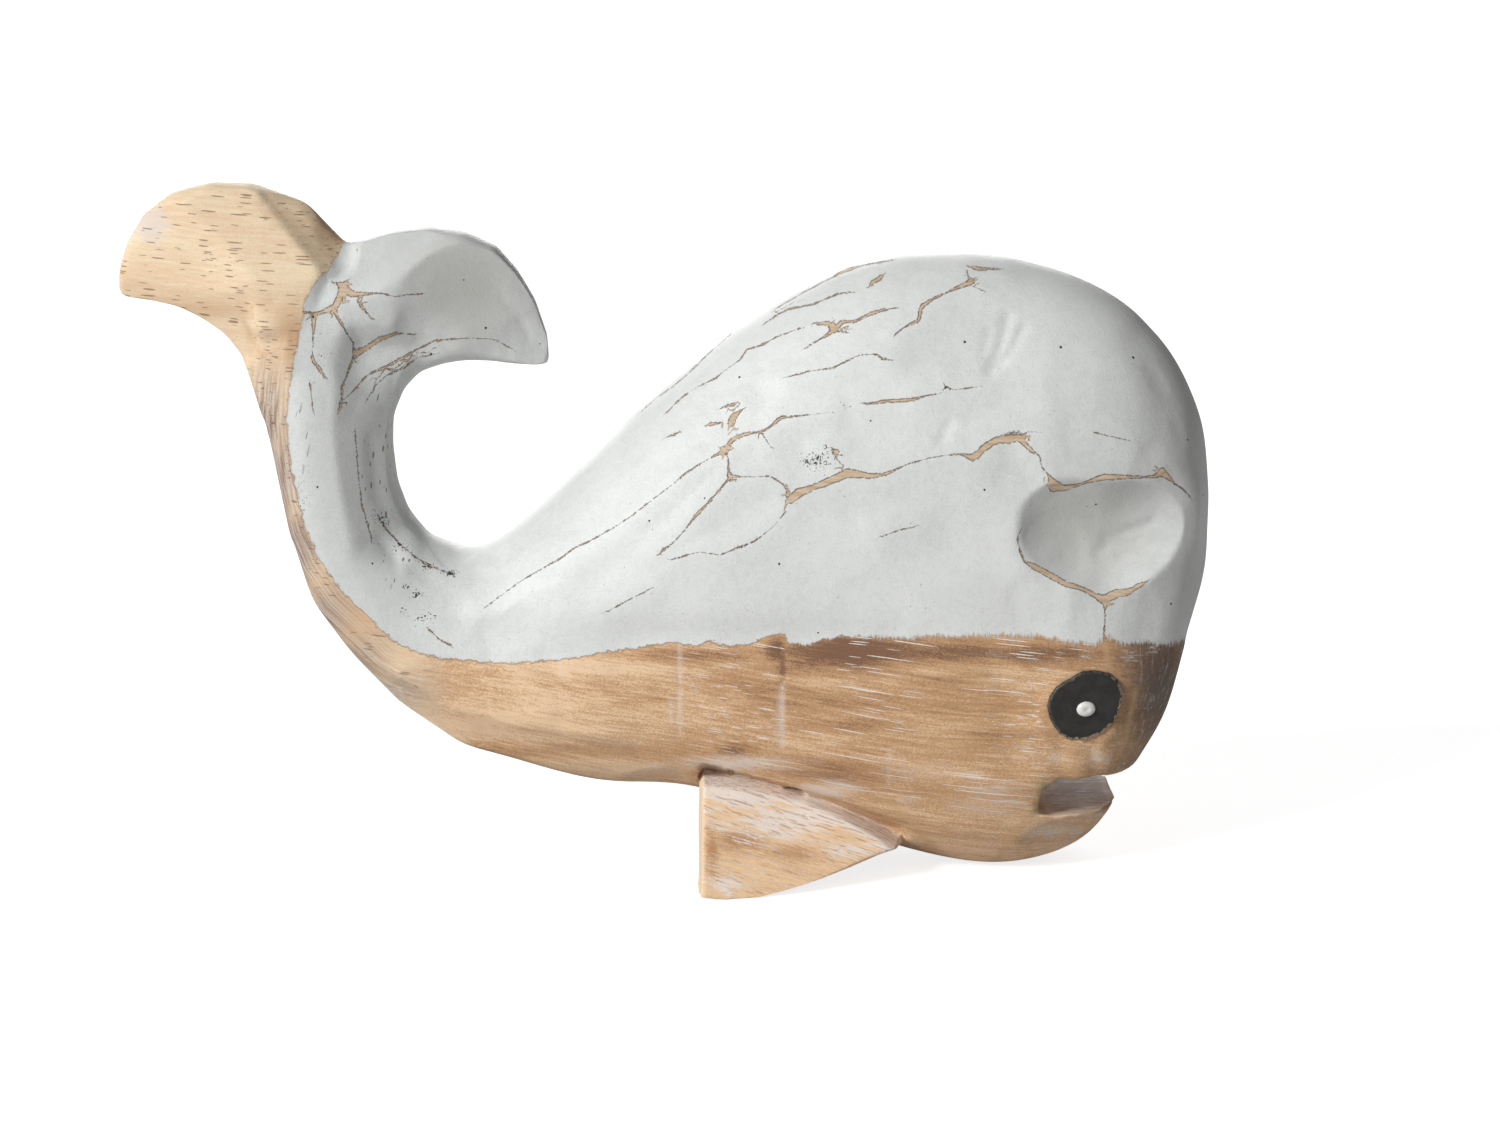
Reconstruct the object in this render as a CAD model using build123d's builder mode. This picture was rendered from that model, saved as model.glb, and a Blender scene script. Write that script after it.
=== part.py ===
from build123d import *
import os
from math import copysign, cos, pi, radians, sin

# A carved wooden whale that stands on its two fins and its chin. +X points to the head, +Z is up
# and the plane Y = 0 halves it, with the whale's right side at -Y. Everything is in millimetres.
# Where a name ends in share or shares, a pair holds parts of the whale's length and height:
# along the length from the tip of the left fluke, and up from the table.

# The whole whale
whale_length = 250.0
whale_height = 157.0
head_half_width = 34.0

# The body and then the stem of the tail, one row for each cross-section from the nose backwards:
# a point on the back, the point across from it on the belly, and the part of the half width. They
# meet at the upright joint between the two blocks
nose_shares = (1.0, 0.540)
body_shares = [
    ((0.996, 0.606), (0.996, 0.473), 0.24),
    ((0.991, 0.666), (0.989, 0.386), 0.45),
    ((0.978, 0.718), (0.973, 0.303), 0.65),
    ((0.958, 0.770), (0.958, 0.219), 0.78),
    ((0.927, 0.820), (0.937, 0.158), 0.88),
    ((0.887, 0.859), (0.917, 0.098), 0.95),
    ((0.841, 0.885), (0.890, 0.040), 1.00),
    ((0.795, 0.897), (0.848, 0.006), 1.00),
    ((0.745, 0.900), (0.800, -0.004), 1.00),
    ((0.690, 0.889), (0.745, 0.009), 0.99),
    ((0.635, 0.858), (0.685, 0.036), 0.97),
    ((0.580, 0.808), (0.626, 0.066), 0.94),
    ((0.524, 0.740), (0.566, 0.095), 0.90),
    ((0.472, 0.670), (0.508, 0.116), 0.84),
    ((0.422, 0.593), (0.448, 0.119), 0.77),
    ((0.376, 0.526), (0.389, 0.138), 0.69),
    ((0.336, 0.479), (0.334, 0.163), 0.62),
    ((0.307, 0.470), (0.307, 0.177), 0.58),
]
stem_shares = [
    ((0.307, 0.470), (0.307, 0.177), 0.58),
    ((0.280, 0.486), (0.252, 0.237), 0.54),
    ((0.262, 0.523), (0.208, 0.310), 0.51),
    ((0.253, 0.570), (0.172, 0.388), 0.48),
    ((0.250, 0.617), (0.152, 0.495), 0.45),
    ((0.251, 0.658), (0.138, 0.614), 0.41),
    ((0.257, 0.690), (0.126, 0.697), 0.36),
    ((0.262, 0.745), (0.128, 0.765), 0.30),
    ((0.248, 0.800), (0.150, 0.815), 0.26),
]
body_waist_share = 0.42
back_power = 2.2
belly_power = 2.7
points_per_section = 16

# The flukes, carved with the stem: their rows run from each tip into the stem in the same way
fluke_half_thickness = 11.0
left_tip_shares = (0.000, 0.836)
left_fluke_shares = [
    ((0.002, 0.877), (0.014, 0.833), 0.50),
    ((0.011, 0.917), (0.034, 0.829), 0.62),
    ((0.027, 0.957), (0.056, 0.821), 0.72),
    ((0.053, 0.988), (0.077, 0.805), 0.82),
    ((0.088, 1.002), (0.098, 0.782), 0.90),
    ((0.126, 1.000), (0.113, 0.751), 0.96),
    ((0.175, 0.974), (0.121, 0.710), 1.00),
    ((0.208, 0.916), (0.129, 0.662), 1.00),
]
right_tip_shares = (0.396, 0.734)
right_fluke_shares = [
    ((0.393, 0.782), (0.383, 0.733), 0.45),
    ((0.382, 0.834), (0.366, 0.736), 0.55),
    ((0.366, 0.877), (0.343, 0.740), 0.64),
    ((0.347, 0.912), (0.319, 0.741), 0.74),
    ((0.319, 0.932), (0.296, 0.737), 0.84),
    ((0.286, 0.940), (0.275, 0.725), 0.92),
    ((0.250, 0.933), (0.261, 0.701), 1.00),
    ((0.208, 0.914), (0.252, 0.666), 1.00),
    ((0.190, 0.880), (0.200, 0.639), 1.00),
    ((0.157, 0.845), (0.154, 0.639), 1.00),
]
fluke_waist_share = 0.5
fluke_power = 3.0

# The pegs across the joint between the body and the tail
tail_dowel_radius = 3.0
tail_dowel_length = 28.0
tail_dowel_spacing = 15.0
tail_dowel_height_share = 0.360

# The mouth, a saw cut right across the jaw: its roof, its corner and its floor
mouth_shares = [(0.855, 0.159), (0.842, 0.143), (0.838, 0.102)]

# The hollow scooped out of each cheek, a barrel-shaped cut along the head
hollow_shares = (0.894, 0.512)
hollow_length = 44.0
hollow_height = 28.0
hollow_depth = 6.5
hollow_tilt = 5.0

# The eyes, black discs let into seats in the cheeks, each with a raised white dot
eye_shares = (0.878, 0.268)
eye_radius = 8.7
eye_thickness = 3.0
eye_proud = 0.6
eye_edge = 0.5
eye_dot_radius = 2.2
eye_dot_height = 1.1

# The fins, boards splayed and toed out in housings in the belly. Their outline is in shares of
# the fin's own length and drop, from the corner where the rear edge meets the belly
fin_corner_shares = (0.536, 0.146)
fin_corner_side = 26.0
fin_length = 46.5
fin_drop = 28.5
fin_thickness = 9.0
fin_splay = 32.0
fin_toe = 8.0
fin_top_shares = [(1.00, -0.38), (0.00, 0.24)]
fin_foot_shares = [
    (-0.06, -0.990),
    (0.10, -0.990),
    (0.24, -0.960),
    (0.36, -0.915),
    (0.52, -0.825),
    (0.72, -0.690),
    (0.90, -0.590),
    (1.00, -0.560),
]
fin_dowel_radius = 2.0
fin_dowel_length = 18.0
fin_dowel_shares = (0.18, 0.46)

# Fits, and how far a cut runs past the wood
glue_gap = 0.1
dowel_gap = 0.05
overrun = 5.0


def place(shares):
    """A point on the whale's middle plane."""
    return Vector(shares[0] * whale_length - whale_length / 2, 0, shares[1] * whale_height)


def profile(shares):
    """The same points for a sketch on the middle plane, which runs along X and up Z."""
    return [(place(pair).X, place(pair).Z) for pair in shares]


def section_points(reach, half_width, waist_share, upper_power, lower_power):
    """A rounded outline across the whale, from (0, 0) below to (0, reach) above."""
    below = reach * waist_share
    points = []
    for turn in range(points_per_section):
        angle = 2 * pi * turn / points_per_section
        is_upper = sin(angle) > 0
        power = upper_power if is_upper else lower_power
        height = reach - below if is_upper else below
        x = half_width * copysign(abs(cos(angle)) ** (2 / power), cos(angle))
        y = below + height * copysign(abs(sin(angle)) ** (2 / power), sin(angle))
        points.append((x, y))
    return points


def section_outlines(rows, full_half_width, waist_share, upper_power, lower_power):
    """For each row the plane across the whale and the outline that lies on it."""
    across = Vector(0, 1, 0)
    outlines = []
    for upper_shares, lower_shares, width_share in rows:
        rise = place(upper_shares) - place(lower_shares)
        plane = Plane(place(lower_shares), x_dir=across, z_dir=across.cross(rise))
        half_width = width_share * full_half_width
        points = section_points(rise.length, half_width, waist_share, upper_power, lower_power)
        outlines.append((plane, points))
    return outlines


def carve(tip_shares, outlines):
    """A smooth form from a tip through all its cross-sections."""
    with BuildPart() as form:
        for plane, points in outlines:
            with BuildSketch(plane):
                with BuildLine():
                    Spline(*points, periodic=True)
                make_face()
        loft(sections=[Vertex(*place(tip_shares))] + form.pending_faces)
    return form.part


def whittle(outlines, tip_shares=None):
    """A form of short straight lengths, each from one cross-section to the next."""
    with BuildPart() as form:
        if tip_shares:
            plane, points = outlines[0]
            with BuildSketch(plane):
                with BuildLine():
                    Spline(*points, periodic=True)
                make_face()
            loft(sections=[Vertex(*place(tip_shares))] + form.pending_faces, ruled=True)
        for neighbours in zip(outlines, outlines[1:]):
            for plane, points in neighbours:
                with BuildSketch(plane):
                    with BuildLine():
                        Spline(*points, periodic=True)
                    make_face()
            loft(ruled=True)
    return form.part


def surface_at(shares):
    """Where a line across the whale meets its right side, and the way the wood faces there."""
    start = place(shares) - Vector(0, whale_length, 0)
    return body_form.find_intersection_points(Axis(start, (0, 1, 0)))[0]


# The body as carved, before anything is cut into it
body_form = carve(
    nose_shares,
    section_outlines(body_shares, head_half_width, body_waist_share, back_power, belly_power),
)

# The eye's seat is square to the cheek
eye_point, eye_normal = surface_at(eye_shares)
eye_seat = Plane(eye_point - eye_normal * (eye_thickness - eye_proud), z_dir=eye_normal)
eye_face = eye_seat.offset(eye_thickness)

# The hollow's cutter is a barrel that lies along the cheek, its side sunk in by the depth
hollow_point, hollow_normal = surface_at(hollow_shares)
hollow_radius = ((hollow_height / 2) ** 2 + hollow_depth**2) / (2 * hollow_depth)
hollow_end_radius = hollow_radius - hollow_depth
hollow_along = Vector(0, 0, 1).cross(hollow_normal).rotate(
    Axis((0, 0, 0), hollow_normal), hollow_tilt
)
hollow_plane = Plane(
    hollow_point + hollow_normal * hollow_end_radius, x_dir=hollow_along, z_dir=hollow_normal
)

# The fin's outer face, whose sketch runs forward along the root and up the fin
toe, splay = radians(fin_toe), radians(fin_splay)
fin_face = Plane(
    place(fin_corner_shares) - Vector(0, fin_corner_side, 0),
    x_dir=(cos(toe), sin(toe), 0),
    z_dir=(sin(toe) * cos(splay), -cos(toe) * cos(splay), sin(splay)),
)
fin_middle = fin_face.offset(-fin_thickness / 2)
fin_dowel_plane = Plane(fin_middle.origin, x_dir=fin_face.x_dir, z_dir=fin_face.y_dir)


def fin_points(shares):
    return [(x_share * fin_length, y_share * fin_drop) for x_share, y_share in shares]


def fin_dowel_places():
    """Dowels are halved by the line of the fin's top edge."""
    front, rear = fin_points(fin_top_shares)
    places = []
    for share in fin_dowel_shares:
        places.append((share * fin_length, 0, rear[1] + share * (front[1] - rear[1])))
    return places


with BuildSketch() as fin_outline:
    with BuildLine():
        Spline(*fin_points(fin_foot_shares))
        Polyline(
            fin_points(fin_foot_shares)[-1],
            *fin_points(fin_top_shares),
            fin_points(fin_foot_shares)[0],
        )
    make_face()

# Pegs of round bar that hold the fins
with BuildPart(fin_dowel_plane) as right_fin_dowels:
    with Locations(*fin_dowel_places()):
        Cylinder(fin_dowel_radius, fin_dowel_length)

with BuildPart() as left_fin_dowels:
    mirror(right_fin_dowels.part, about=Plane.XZ)

with BuildPart(fin_dowel_plane) as fin_bores:
    with Locations(*fin_dowel_places()):
        Cylinder(fin_dowel_radius + dowel_gap, fin_dowel_length + 2 * glue_gap)

# The fins, cut level where they stand
with BuildPart() as right_fin:
    with BuildSketch(fin_face):
        add(fin_outline.sketch)
    extrude(amount=-fin_thickness)
    split(bisect_by=Plane.XY, keep=Keep.TOP)
    add(fin_bores.part, mode=Mode.SUBTRACT)

with BuildPart() as left_fin:
    mirror(right_fin.part, about=Plane.XZ)

# The pegs that hold the tail, one above the other along the body
tail_joint = place((stem_shares[0][0][0], tail_dowel_height_share))
with BuildPart(Plane(tail_joint, x_dir=(0, 1, 0), z_dir=(1, 0, 0))) as tail_dowels:
    with GridLocations(0, tail_dowel_spacing, 1, 2):
        Cylinder(tail_dowel_radius, tail_dowel_length)

with BuildPart(Plane(tail_joint, x_dir=(0, 1, 0), z_dir=(1, 0, 0))) as tail_bores:
    with GridLocations(0, tail_dowel_spacing, 1, 2):
        Cylinder(tail_dowel_radius + dowel_gap, tail_dowel_length + 2 * glue_gap)

# Everything that is cut into the right side of the body
with BuildPart() as right_side_cuts:
    with BuildSketch(hollow_plane):
        with BuildLine():
            Polyline(
                (-hollow_length / 2, hollow_end_radius),
                (-hollow_length / 2, 0),
                (hollow_length / 2, 0),
                (hollow_length / 2, hollow_end_radius),
            )
            ThreePointArc(
                (hollow_length / 2, hollow_end_radius),
                (0, hollow_radius),
                (-hollow_length / 2, hollow_end_radius),
            )
        make_face()
    revolve(axis=Axis(hollow_plane.origin, hollow_along))
    with BuildSketch(eye_seat):
        Circle(eye_radius + glue_gap)
    extrude(amount=eye_thickness + overrun)
    with BuildSketch(fin_face.offset(glue_gap)):
        add(fin_outline.sketch)
        offset(amount=glue_gap)
    extrude(amount=-fin_thickness - 2 * glue_gap)
    add(fin_bores.part)

# The body and head, one block of wood from the tail joint to the nose
with BuildPart() as body_block:
    add(body_form)
    split(bisect_by=Plane.XY, keep=Keep.TOP)
    with BuildSketch(Plane.XZ):
        with BuildLine():
            roof, corner, floor = profile(mouth_shares)
            front = place(nose_shares).X + overrun
            Polyline((front, roof[1]), roof, corner, floor, (front, floor[1]), close=True)
        make_face()
    extrude(amount=head_half_width + overrun, both=True, mode=Mode.SUBTRACT)
    add(right_side_cuts.part, mode=Mode.SUBTRACT)
    mirror(right_side_cuts.part, about=Plane.XZ, mode=Mode.SUBTRACT)
    add(tail_bores.part, mode=Mode.SUBTRACT)

# The tail, a second block with the stem and both flukes
with BuildPart() as tail_block:
    add(
        whittle(
            section_outlines(
                stem_shares, head_half_width, body_waist_share, back_power, belly_power
            )
        )
    )
    for rows, tip_shares in (
        (left_fluke_shares, left_tip_shares),
        (right_fluke_shares, right_tip_shares),
    ):
        outlines = section_outlines(
            rows, fluke_half_thickness, fluke_waist_share, fluke_power, fluke_power
        )
        add(whittle(outlines, tip_shares))
    add(tail_bores.part, mode=Mode.SUBTRACT)

# The eyes
with BuildPart() as right_eye_disc:
    with BuildSketch(eye_seat):
        Circle(eye_radius)
    extrude(amount=eye_thickness)
    chamfer(right_eye_disc.faces().sort_by(Axis(eye_point, eye_normal))[-1].edges(), eye_edge)

with BuildPart() as left_eye_disc:
    mirror(right_eye_disc.part, about=Plane.XZ)

eye_dot_plane = Plane(eye_face.origin, x_dir=eye_face.x_dir, z_dir=-eye_face.y_dir)
with BuildPart() as right_eye_dot:
    with BuildSketch(eye_dot_plane):
        with BuildLine():
            Polyline((0, eye_dot_height), (0, 0), (eye_dot_radius, 0))
            TangentArc((0, eye_dot_height), (eye_dot_radius, 0), tangent=(1, 0))
        make_face()
    revolve(axis=Axis(eye_face.origin, eye_face.z_dir))

with BuildPart() as left_eye_dot:
    mirror(right_eye_dot.part, about=Plane.XZ)

pieces = {
    "body_block": body_block,
    "tail_block": tail_block,
    "tail_dowels": tail_dowels,
    "right_fin": right_fin,
    "left_fin": left_fin,
    "right_fin_dowels": right_fin_dowels,
    "left_fin_dowels": left_fin_dowels,
    "right_eye_disc": right_eye_disc,
    "left_eye_disc": left_eye_disc,
    "right_eye_dot": right_eye_dot,
    "left_eye_dot": left_eye_dot,
}
os.makedirs("parts", exist_ok=True)
for name, piece in pieces.items():
    piece.part.label = name
    export_step(piece.part, f"parts/{name}.step")
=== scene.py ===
import math
import random
import bmesh
import bpy
import numpy as np
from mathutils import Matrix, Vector, noise
from mathutils.bvhtree import BVHTree


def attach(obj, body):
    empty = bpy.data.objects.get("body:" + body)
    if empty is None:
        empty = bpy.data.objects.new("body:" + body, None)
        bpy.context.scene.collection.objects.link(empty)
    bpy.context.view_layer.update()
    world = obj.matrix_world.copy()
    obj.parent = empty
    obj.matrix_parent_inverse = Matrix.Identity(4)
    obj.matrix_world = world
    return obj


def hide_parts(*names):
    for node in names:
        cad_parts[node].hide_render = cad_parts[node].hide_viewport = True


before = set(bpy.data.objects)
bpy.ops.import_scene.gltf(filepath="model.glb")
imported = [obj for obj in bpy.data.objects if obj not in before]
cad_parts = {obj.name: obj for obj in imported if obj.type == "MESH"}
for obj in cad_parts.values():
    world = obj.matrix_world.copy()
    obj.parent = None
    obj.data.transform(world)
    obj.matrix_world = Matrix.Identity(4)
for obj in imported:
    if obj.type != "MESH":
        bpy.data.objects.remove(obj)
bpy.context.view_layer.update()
millimetre = 0.001

# The photo's view of the whale's right side, fitted to its outline. Pixels are those of the photo
view = {
    "elevation": 10.5,  # degrees
    "distance": 0.750,
    "lookAt": (0.01929, 0.0, 0.06939),
    "pixelSize": 0.00023177,  # on the middle plane
    "pixels": (1500, 1125),
    "sensor": 36.0,
    "clip": (0.01, 200.0),  # nearest and farthest that is shown
}


def viewAxes():
    angle = math.radians(view["elevation"])
    forward = Vector((0, math.cos(angle), -math.sin(angle)))
    up = Vector((0, math.sin(angle), math.cos(angle)))
    eye = Vector(view["lookAt"]) - forward * view["distance"]
    return eye, forward, up


def photoPixels(points):
    # Where points show in the photo, those of the far side mirrored to the near one
    eye, forward, up = viewAxes()
    offset = points - np.array(eye)
    offset[:, 1] = -np.abs(points[:, 1]) - eye.y
    focal = view["distance"] / view["pixelSize"]
    depth = offset @ np.array(forward)
    across = view["pixels"][0] / 2 + focal * offset[:, 0] / depth
    down = view["pixels"][1] / 2 - focal * (offset @ np.array(up)) / depth
    return np.stack((across, down), 1)


def placeAt(pixel, side):
    # The point at a pixel of the photo that lies that far to the near side of the middle plane
    eye, forward, up = viewAxes()
    focal = view["distance"] / view["pixelSize"]
    ray = forward * focal + Vector((pixel[0] - view["pixels"][0] / 2, 0, 0))
    ray += up * (view["pixels"][1] / 2 - pixel[1])
    return eye + ray * ((-side - eye.y) / ray.y)


def smoothStep(low, high, value):
    share = np.clip((value - low) / (high - low), 0, 1)
    return share * share * (3 - 2 * share)


# Where the paint ends on the wood, from the notch between the flukes down the stem and forward
paintEdge = [
    (345, 240), (329, 268), (320, 276), (305, 300), (304, 313), (298, 340), (290, 380), (286, 420),
    (289, 460), (297, 500), (305, 530), (319, 561), (342, 593), (370, 619), (394, 642), (422, 655),
    (451, 659), (494, 663), (537, 662), (580, 657), (623, 650), (646, 648), (672, 642), (695, 647),
    (708, 641), (726, 646), (750, 645), (770, 636), (782, 633), (788, 642), (806, 646), (824, 640),
    (840, 637), (895, 638), (940, 637), (985, 636), (1034, 636), (1070, 642), (1101, 645),
    (1107, 636), (1123, 645), (1145, 642), (1168, 645), (1190, 640), (1300, 640), (1300, 100),
    (352, 100), (352, 236),
]

# Ridges where the paint is rubbed through: pixel across, pixel down and width in pixels
wornRidges = [
    # From the middle of the flank to the hollow
    [(789, 501, 8), (798, 493, 10), (814, 487, 6), (837, 478, 9), (848, 473, 10), (870, 476, 6),
     (883, 475, 4), (899, 468, 2), (911, 463, 1), (934, 457, 1), (948, 455, 1), (961, 454, 1.5),
     (973, 458, 8), (984, 448, 7), (998, 439, 8), (1011, 439, 9), (1021, 438, 8), (1024, 443, 5),
     (1032, 451, 4), (1040, 456, 2), (1041, 466, 1), (1048, 474, 1)],
    # The hollow's upper edge
    [(1048, 474, 1), (1054, 486, 13), (1064, 488, 6), (1078, 485, 3), (1093, 480, 4),
     (1105, 477, 7), (1116, 477, 5), (1130, 477, 4), (1145, 477, 2), (1156, 476, 4),
     (1162, 472, 9), (1168, 477, 5), (1174, 483, 3), (1184, 490, 1.5), (1190, 497, 1)],
    # The hollow's rear and lower edge
    [(1021, 529, 1), (1017, 538, 1.5), (1020, 550, 1.5), (1024, 561, 2.5), (1035, 567, 6),
     (1050, 575, 7), (1066, 584, 6), (1081, 588, 5), (1093, 594, 5), (1104, 600, 9),
     (1118, 593, 9), (1127, 593, 7), (1138, 586, 5), (1145, 582, 3)],
    # The ridge down the cheek to the eye
    [(1105, 603, 6), (1105, 611, 1.5), (1105, 624, 1), (1104, 634, 2.5), (1106, 646, 5),
     (1108, 660, 6), (1109, 670, 3)],
    # Over the shoulder
    [(895, 335, 1), (904, 327, 2), (919, 320, 4.5), (921, 307, 4.5), (934, 298, 3.5), (948, 292, 2),
     (961, 286, 5), (972, 282, 6), (968, 275, 1)],
    [(974, 287, 1), (982, 290, 1)],
    [(971, 267, 3), (979, 269, 4), (1000, 269, 2)],
    [(805, 348, 1), (817, 341, 1.5), (827, 335, 3), (835, 329, 8), (828, 323, 5), (817, 324, 3)],
    [(835, 329, 7), (842, 322, 4), (856, 321, 3), (870, 314, 4), (883, 310, 2.5), (895, 308, 1)],
    [(835, 331, 4), (844, 331, 2)],
    [(871, 284, 4), (881, 277, 5)],
    [(764, 324, 1), (778, 314, 2), (789, 309, 2), (814, 304, 2), (837, 294, 2), (851, 292, 1)],
    [(777, 308, 1), (801, 294, 1), (831, 278, 1.5), (847, 270, 4), (860, 266, 2), (881, 262, 2),
     (893, 260, 1)],
    [(666, 413, 1), (681, 398, 1), (697, 387, 1), (716, 378, 1.5), (723, 372, 1), (741, 359, 1),
     (747, 349, 2.5), (762, 345, 2), (778, 336, 1), (801, 328, 1)],
    [(787, 377, 1), (810, 371, 1), (833, 368, 2), (847, 361, 1.5), (860, 355, 1), (876, 354, 1),
     (883, 359, 3), (889, 359, 1.5)],
    [(640, 413, 1), (654, 400, 1), (672, 387, 1), (687, 375, 1), (709, 353, 1), (732, 333, 1)],
    # The web of ridges behind the shoulder
    [(724, 452, 7), (728, 444, 4), (736, 437, 5), (750, 433, 3), (762, 432, 3), (771, 426, 2.5),
     (780, 418, 4), (794, 416, 2), (808, 415, 1), (833, 412, 1)],
    [(771, 447, 1), (762, 434, 1.5)],
    [(837, 452, 5), (828, 447, 2), (841, 464, 1)],
    [(866, 404, 3), (888, 401, 4), (911, 400, 4), (929, 395, 1), (937, 394, 1)],
    [(731, 423, 8), (734, 416, 7), (742, 410, 2)],
    [(721, 408, 1), (734, 404, 3.5)],
    [(711, 424, 5), (720, 423, 2)],
    [(667, 437, 1), (676, 434, 3)],
    [(728, 456, 1), (729, 476, 3)],
    [(731, 476, 3), (752, 477, 1), (770, 476, 1), (786, 486, 2), (789, 497, 4)],
    [(731, 476, 3.5), (718, 492, 2), (704, 507, 3), (695, 516, 3.5), (686, 529, 1), (674, 542, 1),
     (661, 552, 3.5)],
    [(726, 450, 6), (710, 458, 1), (687, 472, 2), (673, 484, 1), (643, 507, 1), (630, 517, 1.5),
     (613, 528, 1), (590, 541, 1), (572, 549, 1.5), (563, 557, 3), (554, 562, 1.5), (538, 571, 1),
     (518, 583, 1), (483, 609, 1)],
    [(671, 560, 1.5), (698, 552, 1), (721, 555, 1), (737, 548, 2), (751, 543, 1.5), (759, 538, 1.5),
     (773, 527, 1), (787, 510, 1)],
    [(650, 589, 1), (643, 593, 1), (632, 598, 1.5), (607, 612, 1)],
    # Short cracks
    [(881, 537, 1), (899, 530, 1.5), (915, 527, 1)],
    [(1096, 433, 1), (1109, 436, 1), (1127, 440, 1)],
    [(1006, 431, 1), (1038, 432, 1)],
    [(946, 386, 1), (952, 390, 1), (977, 387, 1)],
    # The right fluke
    [(337, 283, 3), (342, 286, 9), (351, 294, 7), (364, 294, 3.5), (380, 293, 1.5), (396, 297, 1.5),
     (405, 295, 1), (421, 294, 1.5)],
    [(342, 286, 8), (346, 282, 3)],
    [(342, 290, 8), (337, 305, 7), (328, 310, 5), (319, 313, 3), (307, 313, 3), (298, 312, 2)],
    [(314, 317, 6), (313, 334, 1.5), (313, 350, 1), (312, 359, 3.5), (318, 367, 4), (324, 376, 2)],
    [(334, 310, 5), (341, 323, 2.5), (348, 335, 2), (353, 342, 2), (354, 355, 2.5), (348, 373, 2),
     (342, 387, 2), (342, 396, 1.5), (340, 409, 3.5)],
    [(357, 353, 7), (366, 348, 6), (380, 339, 5), (398, 333, 3.5), (405, 334, 1), (413, 334, 1)],
    [(344, 400, 1), (357, 387, 1.5), (366, 376, 2), (387, 366, 3), (401, 359, 3.5), (416, 350, 2),
     (434, 341, 2.5), (451, 339, 1), (473, 338, 1), (491, 339, 1), (500, 342, 1), (512, 349, 1)],
    [(367, 400, 1), (376, 385, 1.5), (387, 375, 2), (405, 367, 2.5), (417, 358, 1), (435, 354, 1)],
    [(359, 303, 2.5), (366, 312, 2.5), (371, 318, 1.5)],
    [(310, 385, 1.5), (312, 400, 1), (313, 412, 1)],
    [(355, 430, 1.5), (358, 470, 1), (362, 505, 2), (372, 540, 1)],
    [(376, 512, 1.5), (386, 528, 2), (399, 543, 2), (414, 556, 1), (428, 565, 2.5), (451, 574, 2)],
    [(430, 630, 1.5), (440, 640, 1), (450, 645, 1.5)],
]

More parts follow.
